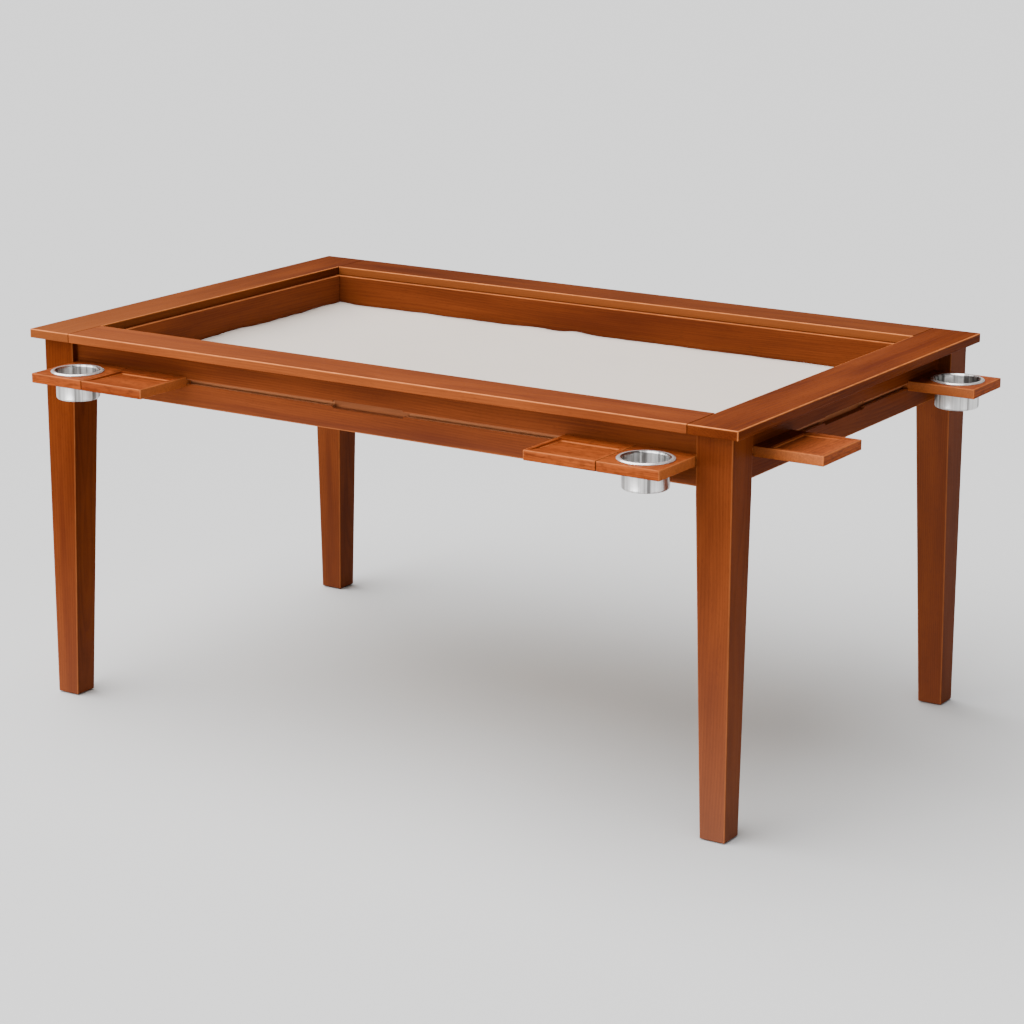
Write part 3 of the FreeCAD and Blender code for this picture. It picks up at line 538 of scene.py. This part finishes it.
points, diameter, length, chamfer, material = new_tree(
    "fluted dowel", ["Diameter", "Length", "Chamfer"])
line = points.node("GeometryNodeCurvePrimitiveLine", {}, {
    "Start": points.node("ShaderNodeCombineXYZ", {}, {"Z": length * -0.5}),
    "End": points.node("ShaderNodeCombineXYZ", {}, {"Z": length * 0.5})})
line = points.node("GeometryNodeResampleCurve", {}, {"Curve": line, "Count": DOWEL_STATIONS})
done = points.node("GeometryNodeSplineParameter", {}, {}, "Length")
from_end = done.at_most(length - done)
taper = DOWEL_TIP + (from_end / chamfer).at_most(1) * (1 - DOWEL_TIP)
line = points.node("GeometryNodeSetCurveRadius", {}, {"Curve": line, "Radius": taper})
flutes = points.node("GeometryNodeCurveStar", {}, {
    "Points": FLUTES, "Inner Radius": diameter * FLUTE_FOOT, "Outer Radius": diameter * 0.5})
dowel = points.node("GeometryNodeCurveToMesh", {}, {
    "Curve": line, "Profile Curve": flutes, "Fill Caps": True})
end_tree(points, dowel, material)
for node, along, size in (("apron_dowels", "X", 0.008), ("rim_dowels", "Z", 0.010)):
    run_tree(f"fluted_{node}", points.tree, node, fixings(node),
             {"Diameter": size, "Length": DOWEL_LENGTH, "Chamfer": DOWEL_CHAMFER},
             bare_wood(node, along, seed=5.5, pale=BEECH_PALE, dark=BEECH_DARK, rings=0.0))


# Walls of the play area. Four stained boards behind the rim. The long two run from leg to leg
# and are bolted to them, and the short two are butted between, their ends painted darker along
# the joints.

# How light each wall is painted, partly its tone and partly painted light and shade, and its
# painted sheen.
WALL_STAIN_AND_LIGHT = {"front": 0.95, "back": 0.85, "right": 0.95, "left": 1.15}
WALL_SHEEN = {"front": 0.03, "back": 0.03, "right": 0.03, "left": 0.07}
for number, side in enumerate(WALL_STAIN_AND_LIGHT):
    wall = f"wall_{side}"
    along = "X" if side in ("front", "back") else "Y"
    faces = ("front", "back") if along == "X" else ("left", "right")
    dress(wall, stained_wood(
        wall, along, seed=31.9 + number, stain=WALL_STAIN_AND_LIGHT[side],
        arrises=[(face, "top") for face in faces], wear_and_light=0.8,
        seams=() if along == "X" else ("front", "back"), sheen_shares=(WALL_SHEEN[side], WALL_SHEEN[side])))


# Bolts, washers and inserts. Two M8 hexagon bolts hold each leg to a long wall. Each goes
# through a washer and into a brass insert in the leg. The steel is zinc plated.

ZINC_LIGHT = (0.640, 0.650, 0.670, 1)
ZINC_DULL = (0.430, 0.440, 0.465, 1)
BRASS_LIGHT = (0.760, 0.540, 0.230, 1)
BRASS_DULL = (0.520, 0.340, 0.130, 1)
BOLT_HEAD = 0.0053
BOLT_SIDES = 20
CHAMFER_SIDES = 30
THREAD_STEPS = 12
# Shares of the bolt's diameter, of its head across the flats, and of the thread's pitch.
BOLT_CORE = 0.43
CHAMFER_TOP = 0.475
CHAMFER_FOOT = 0.883
THREAD_HEIGHT = 0.42


def bare_metal(name, light, dull):
    """Plated or turned metal with a faint mottle."""
    material, shader, place = new_surface(name)
    mottle = place.noise(420, 3)
    stain = place.noise(35, 3)
    connect(shader, {
        "Base Color": (stain * 0.6 + mottle * 0.4).ramp(0.3, 0.7).mixed(light, dull),
        "Metallic": 1.0,
        "Roughness": 0.26 + mottle * 0.16 + stain * 0.10,
    }, relief=mottle, height=0.00002)
    return material


def thread(radius, pitch, length):
    """The ridge of a screw thread that ends at the origin and runs down."""
    height = pitch * THREAD_HEIGHT
    spiral = radius.node("GeometryNodeCurveSpiral", {}, {
        "Resolution": THREAD_STEPS, "Rotations": length / pitch,
        "Start Radius": radius - height, "End Radius": radius - height, "Height": length})
    spiral = radius.node("GeometryNodeSetCurveNormal", {"mode": "Z_UP"}, {"Curve": spiral})
    ridge = radius.node("GeometryNodeCurvePrimitiveCircle", {}, {
        "Resolution": 4, "Radius": height})
    ridge = radius.node("GeometryNodeCurveToMesh", {}, {
        "Curve": spiral, "Profile Curve": ridge, "Fill Caps": True})
    return moved(ridge, z=-length)


def round_bar(sides, radius, length, top=0.0):
    """An upright bar that hangs from a height."""
    bar = radius.node("GeometryNodeMeshCylinder", {}, {
        "Vertices": sides, "Radius": radius, "Depth": length})
    return moved(bar, z=top - length * 0.5)


zinc = bare_metal("bright zinc", ZINC_LIGHT, ZINC_DULL)
points, diameter, flats, head, length, threaded, pitch, material = new_tree(
    "hexagon bolt", ["Diameter", "Flats", "Head", "Length", "Threaded", "Pitch"])
prism = round_bar(6, flats * (1 / math.sqrt(3)), head, head)
chamfer = points.node("GeometryNodeMeshCone", {}, {
    "Vertices": CHAMFER_SIDES, "Radius Top": flats * CHAMFER_TOP,
    "Radius Bottom": flats * CHAMFER_FOOT, "Depth": head})
hexagon = points.node("GeometryNodeMeshBoolean", {
    "operation": "INTERSECT", "solver": "EXACT"}, {"Mesh 2": [prism, chamfer]})
plain = round_bar(BOLT_SIDES, diameter * 0.5, length - threaded)
core = round_bar(BOLT_SIDES, diameter * BOLT_CORE, length)
ridge = moved(thread(diameter * 0.5, pitch, threaded), z=threaded - length)
bolt = points.node("GeometryNodeJoinGeometry", {}, {"Geometry": [hexagon, plain, core, ridge]})
end_tree(points, bolt, material)
run_tree("hexagon_bolts", points.tree, "leg_bolts",
         fixings("leg_bolts", BOLT_HEAD), {
             "Diameter": 0.008, "Flats": 0.013, "Head": BOLT_HEAD, "Length": 0.050,
             "Threaded": 0.022, "Pitch": 0.00125}, zinc)
dress("leg_bolt_washers", zinc)
dress("leg_inserts", bare_metal("turned brass", BRASS_LIGHT, BRASS_DULL))


# Bearers. Square strips of planed pine round the foot of the walls, and two wider ones across,
# carry the panel. They aren't stained, because nobody sees them.

PINE_PALE = (0.640, 0.430, 0.215, 1)
PINE_DARK = (0.440, 0.235, 0.090, 1)
for number, (bearer, along) in enumerate((
        ("bearer_front", "X"), ("bearer_back", "X"), ("bearer_right", "Y"), ("bearer_left", "Y"),
        ("cross_bearer_left", "Y"), ("cross_bearer_right", "Y"))):
    dress(bearer, bare_wood(bearer, along, seed=51.3 + number, pale=PINE_PALE, dark=PINE_DARK))


# Wood screws. Zinc plated, with a cross recess: long ones through the bearers into the walls,
# and short ones that hold the steel angles to the aprons and the rim.

SCREW_HEAD = 0.0024
SCREW_TIP = 0.0001
SCREW_SIDES = 12
PAN_SIDES = 20
# Shares of the screw's diameter, of its head's width, and of its head's height.
SCREW_CORE = 0.34
PAN_TOP = 0.34
RECESS_LENGTH = 0.5
RECESS_WIDTH = 0.12
RECESS_DEPTH = 1.2
points, diameter, wide, head, length, pitch, material = new_tree(
    "wood screw", ["Diameter", "Head Width", "Head", "Length", "Pitch"])
pan = points.node("GeometryNodeMeshCone", {}, {
    "Vertices": PAN_SIDES, "Radius Top": wide * PAN_TOP, "Radius Bottom": wide * 0.5,
    "Depth": head})
recess = points.node("ShaderNodeCombineXYZ", {}, {
    "X": wide * RECESS_LENGTH, "Y": wide * RECESS_WIDTH, "Z": head * RECESS_DEPTH})
bar = moved(points.node("GeometryNodeMeshCube", {}, {"Size": recess}), z=head)
pan = points.node("GeometryNodeMeshBoolean", {"operation": "DIFFERENCE", "solver": "EXACT"}, {
    "Mesh 1": pan, "Mesh 2": [bar, moved(bar, turn=(0, 0, math.pi / 2))]})
core = round_bar(SCREW_SIDES, diameter * SCREW_CORE, length - diameter)
tip = points.node("GeometryNodeMeshCone", {}, {
    "Vertices": SCREW_SIDES, "Radius Top": SCREW_TIP, "Radius Bottom": diameter * SCREW_CORE,
    "Depth": diameter})
tip = moved(tip, z=diameter - length, turn=(math.pi, 0, 0))
ridge = thread(diameter * 0.5, pitch, length - diameter * 0.5)
screw = points.node("GeometryNodeJoinGeometry", {}, {"Geometry": [pan, core, tip, ridge]})
end_tree(points, screw, material)
for node, screw_length in (("bearer_screws", 0.030), ("bracket_screws", 0.014)):
    run_tree(f"cross_head_{node}", points.tree, node, fixings(node, SCREW_HEAD), {
        "Diameter": 0.004, "Head Width": 0.008, "Head": SCREW_HEAD, "Length": screw_length,
        "Pitch": 0.0018}, zinc)
dress("rim_brackets", zinc)


# Play panel. Birch plywood of seven plies, loose on its bearers. Its edges show the plies, with
# every second one across the grain and darker.

BIRCH_PALE = (0.640, 0.470, 0.290, 1)
BIRCH_DARK = (0.500, 0.330, 0.180, 1)
PLY_EDGE = (0.280, 0.150, 0.070, 1)
PLY_EDGE_SHARE = 0.75
PLIES = 7
low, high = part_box("play_panel")
plywood, shader, place = new_surface("birch plywood")
grain = Grain(place, "play_panel", "X", seed=61.3)
ply = (place.axes()[2] - low.z) * (PLIES * 0.5 / (high.z - low.z))
second = ply.math("FRACT", ply).ramp(0.48, 0.52)
upward = place.facing()[2]
edge = 1 - (upward * upward).ramp(0.4, 0.9)
veneer = (grain.late_wood * 0.5 + grain.fibre * 0.5).mixed(BIRCH_PALE, BIRCH_DARK)
connect(shader, {
    "Base Color": (second * edge * PLY_EDGE_SHARE).mixed(veneer, PLY_EDGE),
    "Roughness": 0.6 + grain.fibre * 0.15,
    "Specular IOR Level": 0.2,
}, relief=grain.fibre, height=0.00008)
dress("play_panel", plywood)


# Play mat. One sheet of light grey cloth on a thin rubber back, laid loose on the panel. It has
# been rolled up, so its edges still lift a little. The cut edge is paler than the face.

MAT_LENGTH = 1.378
MAT_WIDTH = 0.778
MAT_THICKNESS = 0.0025
MAT_CELL = 0.008
CURL_REACH = 0.055
# How far each edge curls up, and how much a ripple adds to it.
CURL = {"left": (0.0032, 0.0036), "right": (0.0018, 0.0012), "front": (0.0014, 0.0010),
        "back": (0.0016, 0.0013)}
# The place and the height of each hump in the back edge.
BACK_HUMPS = ((-0.117, 0.0036), (-0.213, 0.0014))
HUMP_REACH = 0.030
BROAD_LIFT = 0.0004
low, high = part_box("play_mat")


def fading(distance, reach):
    return math.exp(-(distance / reach) ** 2)


def edge_lift(x, y):
    """How far the mat stands off the panel. Each edge curls up by a steady part and a rippled
    part, and two humps stand in the back one."""
    ripple = noise.noise(Vector((x * 9, y * 9, 0.3)))
    ripple += 0.5 * noise.noise(Vector((x * 23, y * 23, 1.7)))
    edges = {"left": x - low.x, "right": high.x - x, "front": y - low.y, "back": high.y - y}
    curled = {edge: steady + rippled * ripple for edge, (steady, rippled) in CURL.items()}
    curled["back"] += sum(lift * fading(x - place, HUMP_REACH) for place, lift in BACK_HUMPS)
    lifted = max(curled[edge] * fading(edges[edge], CURL_REACH) for edge in edges)
    broad = BROAD_LIFT * (1 + noise.noise(Vector((x * 3, y * 3, 5.1))))
    return max(0.0, lifted + broad)


mat_mesh = bmesh.new()
columns = round(MAT_LENGTH / MAT_CELL)
rows = round(MAT_WIDTH / MAT_CELL)
grid = []
for row in range(rows + 1):
    y = low.y + (high.y - low.y) * row / rows
    line = []
    for column in range(columns + 1):
        x = low.x + (high.x - low.x) * column / columns
        line.append(mat_mesh.verts.new((x, y, low.z + edge_lift(x, y))))
    grid.append(line)
for near, far in zip(grid, grid[1:]):
    for column in range(columns):
        cell = (near[column], near[column + 1], far[column + 1], far[column])
        mat_mesh.faces.new(cell).smooth = True
mat_data = bpy.data.meshes.new("mat")
mat_mesh.to_mesh(mat_data)
mat_mesh.free()
mat = bpy.data.objects.new("mat", mat_data)
bpy.context.scene.collection.objects.link(mat)
thickness = mat.modifiers.new("thickness", "SOLIDIFY")
thickness.thickness = MAT_THICKNESS
thickness.offset = 1

MAT_GREY = (0.560, 0.490, 0.430, 1)
MAT_SHADE = (0.480, 0.420, 0.368, 1)
MAT_EDGE = (0.780, 0.760, 0.730, 1)
WEAVE_WAVES = 5200
mat_cloth, shader, place = new_surface("grey cloth")
across, back = place.axes()[:2]
warp_threads = place.math("SINE", across * WEAVE_WAVES)
weft_threads = place.math("SINE", back * WEAVE_WAVES)
fuzz = place.noise(900, 2)
cloud = place.noise(4, 3)
gaps = box_sides(place, "play_mat")
from_edge = smallest([gaps[side] for side in ("left", "right", "front", "back")])
cut_edge = 1 - from_edge.ramp(0.0012, 0.0030)
face = (cloud * 0.6 + fuzz * 0.5).mixed(MAT_SHADE, MAT_GREY)
connect(shader, {
    "Base Color": cut_edge.mixed(face, MAT_EDGE),
    "Roughness": 0.86 + fuzz * 0.1,
    "Specular IOR Level": 0.2,
    "Sheen Weight": 0.15,
    "Sheen Roughness": 0.5,
}, relief=warp_threads * weft_threads * 0.5 + fuzz, height=0.00012)
mat_data.materials.append(mat_cloth)
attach(mat, "table")
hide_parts("play_mat")


# Rim. Two boards over the full depth, with two long rails butted between them, dowelled to the
# legs and held to the aprons by steel angles. The hairline joints are painted darker.

RIM_WIDTH = 0.100


def board_sides(place, node):
    """The gaps to an end board's sides. Its inner side shows only between the two rails, and
    the rest of it is the joint."""
    gaps = box_sides(place, node)
    inner = "right" if node.endswith("left") else "left"
    past_rail = smallest([gaps["front"], gaps["back"]]) - RIM_WIDTH
    gaps["joint"] = past_rail.at_least(gaps[inner])
    gaps[inner] = (-past_rail).at_least(gaps[inner])
    return gaps


# How light each board is painted, partly its tone and partly painted light and shade, and the
# painted sheen of the rails.
RIM_STAIN_AND_LIGHT = {"front": 0.89, "back": 0.56, "right": 0.72, "left": 0.60}
RIM_LIGHT_TOWARD = {"front": ("left", 0.085), "back": ("right", 0.06), "left": ("front", 0.17)}
RAIL_SHEEN = {"front": (0.015, 0.015), "back": (0.0, 0.0)}
RAIL_FRONT_LIGHT = {"front": 0.06, "back": 0.20}
for number, side in enumerate(RIM_STAIN_AND_LIGHT):
    rim = f"rim_{side}"
    arrises = [("front", "top"), ("back", "top")]
    if side in ("front", "back"):
        dress(rim, stained_wood(
            rim, "X", seed=21.7 + number, stain=RIM_STAIN_AND_LIGHT[side], arrises=arrises, wear_and_light=1.0,
            seams=("left", "right"), sheen_shares=RAIL_SHEEN[side], front=RAIL_FRONT_LIGHT[side], fleck=0.9,
            light_toward=RIM_LIGHT_TOWARD[side]))
    else:
        arrises += [("left", "top"), ("right", "top"), ("front", side), ("back", side)]
        dress(rim, stained_wood(
            rim, "Y", seed=21.7 + number, stain=RIM_STAIN_AND_LIGHT[side], arrises=arrises, wear_and_light=1.0,
            seams=("joint",), sides=board_sides, fleck=0.9, light_toward=RIM_LIGHT_TOWARD.get(side)))


# Cup plates and trays. Plates of the same stained wood, each hung in the groove by a T-shaped
# tongue on its back edge. A cup plate has one bored hole, and a tray a scooped floor, with a
# highlight painted along the foot of its walls. Where the two of a pair touch, their edges are
# painted darker.

TOP_ARRISES = [("left", "top"), ("right", "top"), ("front", "top"), ("back", "top")]
# How light each pair is painted, partly its tone and partly painted light and shade, and its
# painted sheen.
PLATE_STAIN_AND_LIGHT = {"front_left": 1.35, "front_right": 1.32, "end": 1.5}
PLATE_SHEEN = {"front_left": (0.0, 0.03), "front_right": (0.0, 0.02), "end": (0.0, 0.06)}
TOUCHING = {"cup_plate_front_left": "right", "tray_front_left": "left",
            "cup_plate_front_right": "left", "tray_front_right": "right"}
APRON_FRONT = -0.4135
APRON_RIGHT = 0.708
SCOOP_SIDE_RIM = 0.009
SCOOP_BACK_RIM = 0.029
SCOOP_FOOT = 0.6980
FOOT_HIGHLIGHT_SHARE = 0.75


def scoop_foot_highlight(node, where):
    """A mask of the foot of a tray's side and back walls, where a highlight is painted."""
    def mask(place):
        low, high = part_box(node)
        x, y, z = place.axes()
        if where == "end":
            walls = [x - (APRON_RIGHT + SCOOP_BACK_RIM), y - (low.y + SCOOP_SIDE_RIM),
                     (high.y - SCOOP_SIDE_RIM) - y]
            behind_front = high.x - x
        else:
            walls = [(APRON_FRONT - SCOOP_BACK_RIM) - y, x - (low.x + SCOOP_SIDE_RIM),
                     (high.x - SCOOP_SIDE_RIM) - x]
            behind_front = y - low.y
        foot = 1 - abs(smallest(walls)).ramp(0.0008, 0.0028)
        foot = foot * (1 - z.ramp(SCOOP_FOOT, SCOOP_FOOT + 0.0006))
        return foot * behind_front.ramp(0.002, 0.006) * FOOT_HIGHLIGHT_SHARE
    return mask


for number, where in enumerate(PLATE_STAIN_AND_LIGHT):
    along = "Y" if where == "end" else "X"
    for step, kind in enumerate(("cup_plate", "tray")):
        plate = f"{kind}_{where}"
        touching = TOUCHING.get(plate)
        arrises = TOP_ARRISES + [pair for pair in UPRIGHT_ARRISES if touching not in pair]
        dress(plate, stained_wood(
            plate, along, seed=41.3 + number * 2 + step, stain=PLATE_STAIN_AND_LIGHT[where],
            arrises=arrises, wear_and_light=0.4, seams=[touching] if touching else (),
            foot_highlight=scoop_foot_highlight(plate, where) if kind == "tray" else None,
            sheen_shares=PLATE_SHEEN[where], ends=STAIN_WORN_AND_LIT, fleck=1.4, mottle=0.34))


# Cups. Each is spun from one sheet of stainless steel, with a flat bottom and a lip that is
# rolled out and down onto its plate. The wall is brushed round, and the lip is polished.

CUP_RADIUS = 0.0425
CUP_WALL = 0.0012
CUP_DROP = 0.053
CUP_SIDES = 96
BOTTOM_ROUND = 0.005
BOTTOM_FLAT = 0.0315
LIP_RADIUS = 0.052
LIP_RISE = 0.0035
LIP_UNDER = 0.0003
LIP_BEAD = 0.0010
LIP_THROAT = 0.0440
CREST_OUT = 0.0006
SLOPE_IN = 0.0014
SLOPE_FOOT = 0.0016
STEEL_REFLECTION_DARK = (0.150, 0.142, 0.138, 1)
STEEL_REFLECTION_LIGHT = (0.800, 0.790, 0.780, 1)
BRUSH_RINGS = 2600


def quarter(middle, radius_x, radius_z, start, steps=8):
    """Points along a quarter of an ellipse, from a start angle, a quarter turn on."""
    for step in range(steps + 1):
        angle = start + math.pi / 2 * step / steps
        yield (middle[0] + radius_x * math.cos(angle), middle[1] + radius_z * math.sin(angle))


def cup_profile():
    """The cup's section from the lip's seat: from the middle of the underside, up the wall,
    out under the lip, round its bead, over its crest and down to the inner bottom."""
    inner = CUP_RADIUS - CUP_WALL
    crest = (inner + LIP_RADIUS) / 2 + CREST_OUT
    round_middle = BOTTOM_ROUND - CUP_DROP
    hollow = BOTTOM_ROUND - CUP_WALL
    points = [(0, -CUP_DROP), (BOTTOM_FLAT, -CUP_DROP)]
    points += quarter((CUP_RADIUS - BOTTOM_ROUND, round_middle), BOTTOM_ROUND, BOTTOM_ROUND,
                      -math.pi / 2)
    points += [(CUP_RADIUS, LIP_UNDER), (LIP_RADIUS - CUP_WALL, LIP_UNDER),
               (LIP_RADIUS, LIP_UNDER)]
    points += quarter((LIP_RADIUS - LIP_BEAD, LIP_BEAD), LIP_BEAD, LIP_BEAD, 0, 4)
    points += quarter((crest, SLOPE_FOOT), LIP_RADIUS - SLOPE_IN - crest,
                      LIP_RISE - SLOPE_FOOT, 0)
    points += quarter((crest, -CUP_WALL), crest - inner, LIP_RISE + CUP_WALL, math.pi / 2)
    points += quarter((inner - hollow, round_middle), hollow, -hollow, 0)
    points += [(0, CUP_WALL - CUP_DROP)]
    return points


def spun_steel(name, middle, seat, seed):
    """Stainless steel with fine rings round its axis, left by the brush, and upright stripes of
    painted reflection, light and dark, broad and fine, round the axis. The lip above the seat is
    polished and painted light, a painted highlight."""
    material, shader, place = new_surface(name)
    out = place.vector("MULTIPLY_ADD", place, (1, 1, 0), (-middle.x, -middle.y, 0))
    radius = out.vector("LENGTH", out, output="Value")
    height = place.axes()[2]
    line = place.node("ShaderNodeCombineXYZ", {}, {
        "X": radius * BRUSH_RINGS, "Y": height * BRUSH_RINGS})
    rings = place.node("ShaderNodeTexNoise", {}, {0: line, "Scale": 1.0, "Detail": 3.0})
    way = out.vector("ADD", out.vector("NORMALIZE", out), (seed, seed * 2, seed * 3))
    reflection_bands = way.noise(2.6, 3).ramp(0.40, 0.54)
    streaks = way.noise(16, 2)
    polished = (height - seat).ramp(0.0, 0.0008) * radius.ramp(LIP_THROAT, LIP_THROAT + 0.0015)
    # Painted reflection: light and dark stripes round the cup, and a painted highlight on the
    # lip.
    tone = (reflection_bands * 0.75 + (streaks - 0.5) * 0.8 + 0.12).at_least(polished)
    connect(shader, {
        "Base Color": tone.mixed(STEEL_REFLECTION_DARK, STEEL_REFLECTION_LIGHT),
        "Metallic": 1 - polished * 0.28,
        "Roughness": (0.30 + rings * 0.10) * (1 - polished * 0.35),
        "Anisotropic": 0.8,
        "Anisotropic Rotation": 0.25,
    }, relief=rings * (1 - polished), height=0.000015)
    return material


for number, where in enumerate(("front_left", "front_right", "end")):
    low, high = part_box(f"cup_{where}")
    middle = (low + high) / 2
    seat = high.z - LIP_RISE
    cup_mesh = bmesh.new()
    chain = [cup_mesh.verts.new((middle.x + out, middle.y, seat + up))
             for out, up in cup_profile()]
    edges = [cup_mesh.edges.new(pair) for pair in zip(chain, chain[1:])]
    bmesh.ops.spin(cup_mesh, geom=chain + edges, cent=middle, axis=(0, 0, 1), angle=math.tau,
                   steps=CUP_SIDES, use_merge=True)
    bmesh.ops.remove_doubles(cup_mesh, verts=cup_mesh.verts, dist=0.000001)
    bmesh.ops.recalc_face_normals(cup_mesh, faces=cup_mesh.faces)
    for face in cup_mesh.faces:
        face.smooth = True
    cup_data = bpy.data.meshes.new(f"steel_cup_{where}")
    cup_mesh.to_mesh(cup_data)
    cup_mesh.free()
    cup = bpy.data.objects.new(f"steel_cup_{where}", cup_data)
    bpy.context.scene.collection.objects.link(cup)
    cup_data.materials.append(spun_steel(f"spun steel, {where}", middle, seat, 1.3 + number))
    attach(cup, f"cup_{where}")
    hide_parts(f"cup_{where}")


# Camera. It stands in front of the table, well to the right and a little above the rim, and
# looks back at the middle of the table with a long lens.

TABLE_CENTRE = Vector((-0.046, 0.0515, 0))
AIM = TABLE_CENTRE + Vector((0.03436, -0.0229, 0.4))
AZIMUTH = math.radians(32.9)
ELEVATION = math.radians(15.06)
ROLL = math.radians(0.1)
DISTANCE = 5.7675
SENSOR = 36
PICTURE_WIDTH = 1024
FOCAL_PIXELS = 2878.14
towards = Vector((math.sin(AZIMUTH) * math.cos(ELEVATION),
                  -math.cos(AZIMUTH) * math.cos(ELEVATION), math.sin(ELEVATION)))
camera_data = bpy.data.cameras.new("camera")
camera_data.sensor_width = SENSOR
camera_data.lens = FOCAL_PIXELS / PICTURE_WIDTH * SENSOR
camera = bpy.data.objects.new("camera", camera_data)
bpy.context.scene.collection.objects.link(camera)
camera.location = AIM + towards * DISTANCE
camera.rotation_mode = "QUATERNION"
camera.rotation_quaternion = towards.to_track_quat("Z", "Y") @ Quaternion((0, 0, 1), ROLL)
bpy.context.scene.camera = camera


# Floor and light. A plain pale floor under one broad soft light from the front left. A low soft
# box stands in front, another fills from the right, and a weak panel behind edges the steel.

FLOOR_GREY = (0.50, 0.50, 0.50, 1)
FLOOR_HALF = 80
floor_data = bpy.data.meshes.new("floor")
floor_mesh = bmesh.new()
bmesh.ops.create_grid(floor_mesh, x_segments=1, y_segments=1, size=FLOOR_HALF)
floor_mesh.to_mesh(floor_data)
floor_mesh.free()
floor = bpy.data.objects.new("floor", floor_data)
bpy.context.scene.collection.objects.link(floor)
floor_surface, shader, place = new_surface("floor")
connect(shader, {"Base Color": FLOOR_GREY, "Roughness": 0.9, "Specular IOR Level": 0.1})
floor_data.materials.append(floor_surface)


def area_light(name, place, aim, width, height, power):
    lamp = bpy.data.lights.new(name, "AREA")
    lamp.shape = "RECTANGLE"
    lamp.size = width
    lamp.size_y = height
    lamp.energy = power
    item = bpy.data.objects.new(name, lamp)
    item.visible_camera = False
    item.location = place
    item.rotation_euler = (Vector(aim) - Vector(place)).to_track_quat("-Z", "Y").to_euler()
    bpy.context.scene.collection.objects.link(item)


SUN_FROM = Vector((-0.42, -0.30, 0.86))
sun = bpy.data.lights.new("sun", "SUN")
sun.energy = 10.0
sun.angle = math.radians(90)
sun_item = bpy.data.objects.new("sun", sun)
sun_item.rotation_euler = SUN_FROM.to_track_quat("Z", "Y").to_euler()
bpy.context.scene.collection.objects.link(sun_item)
area_light("right", place=(4.6, -1.3, 0.95), aim=(0.75, 0.1, 0.68), width=3.0, height=1.3,
           power=44)
area_light("back", place=(-1.25, 1.6, 1.5), aim=(0, -0.4, 0.76), width=2.6, height=0.5, power=3)
area_light("front", place=(-1.0, -4.6, 0.45), aim=(-0.1, -0.5, 0.5), width=3.0, height=0.9,
           power=190)

world = bpy.data.worlds.new("studio")
world.use_nodes = True
background = world.node_tree.nodes["Background"]
background.inputs["Color"].default_value = (1, 1, 1, 1)
background.inputs["Strength"].default_value = 0.22
bpy.context.scene.world = world
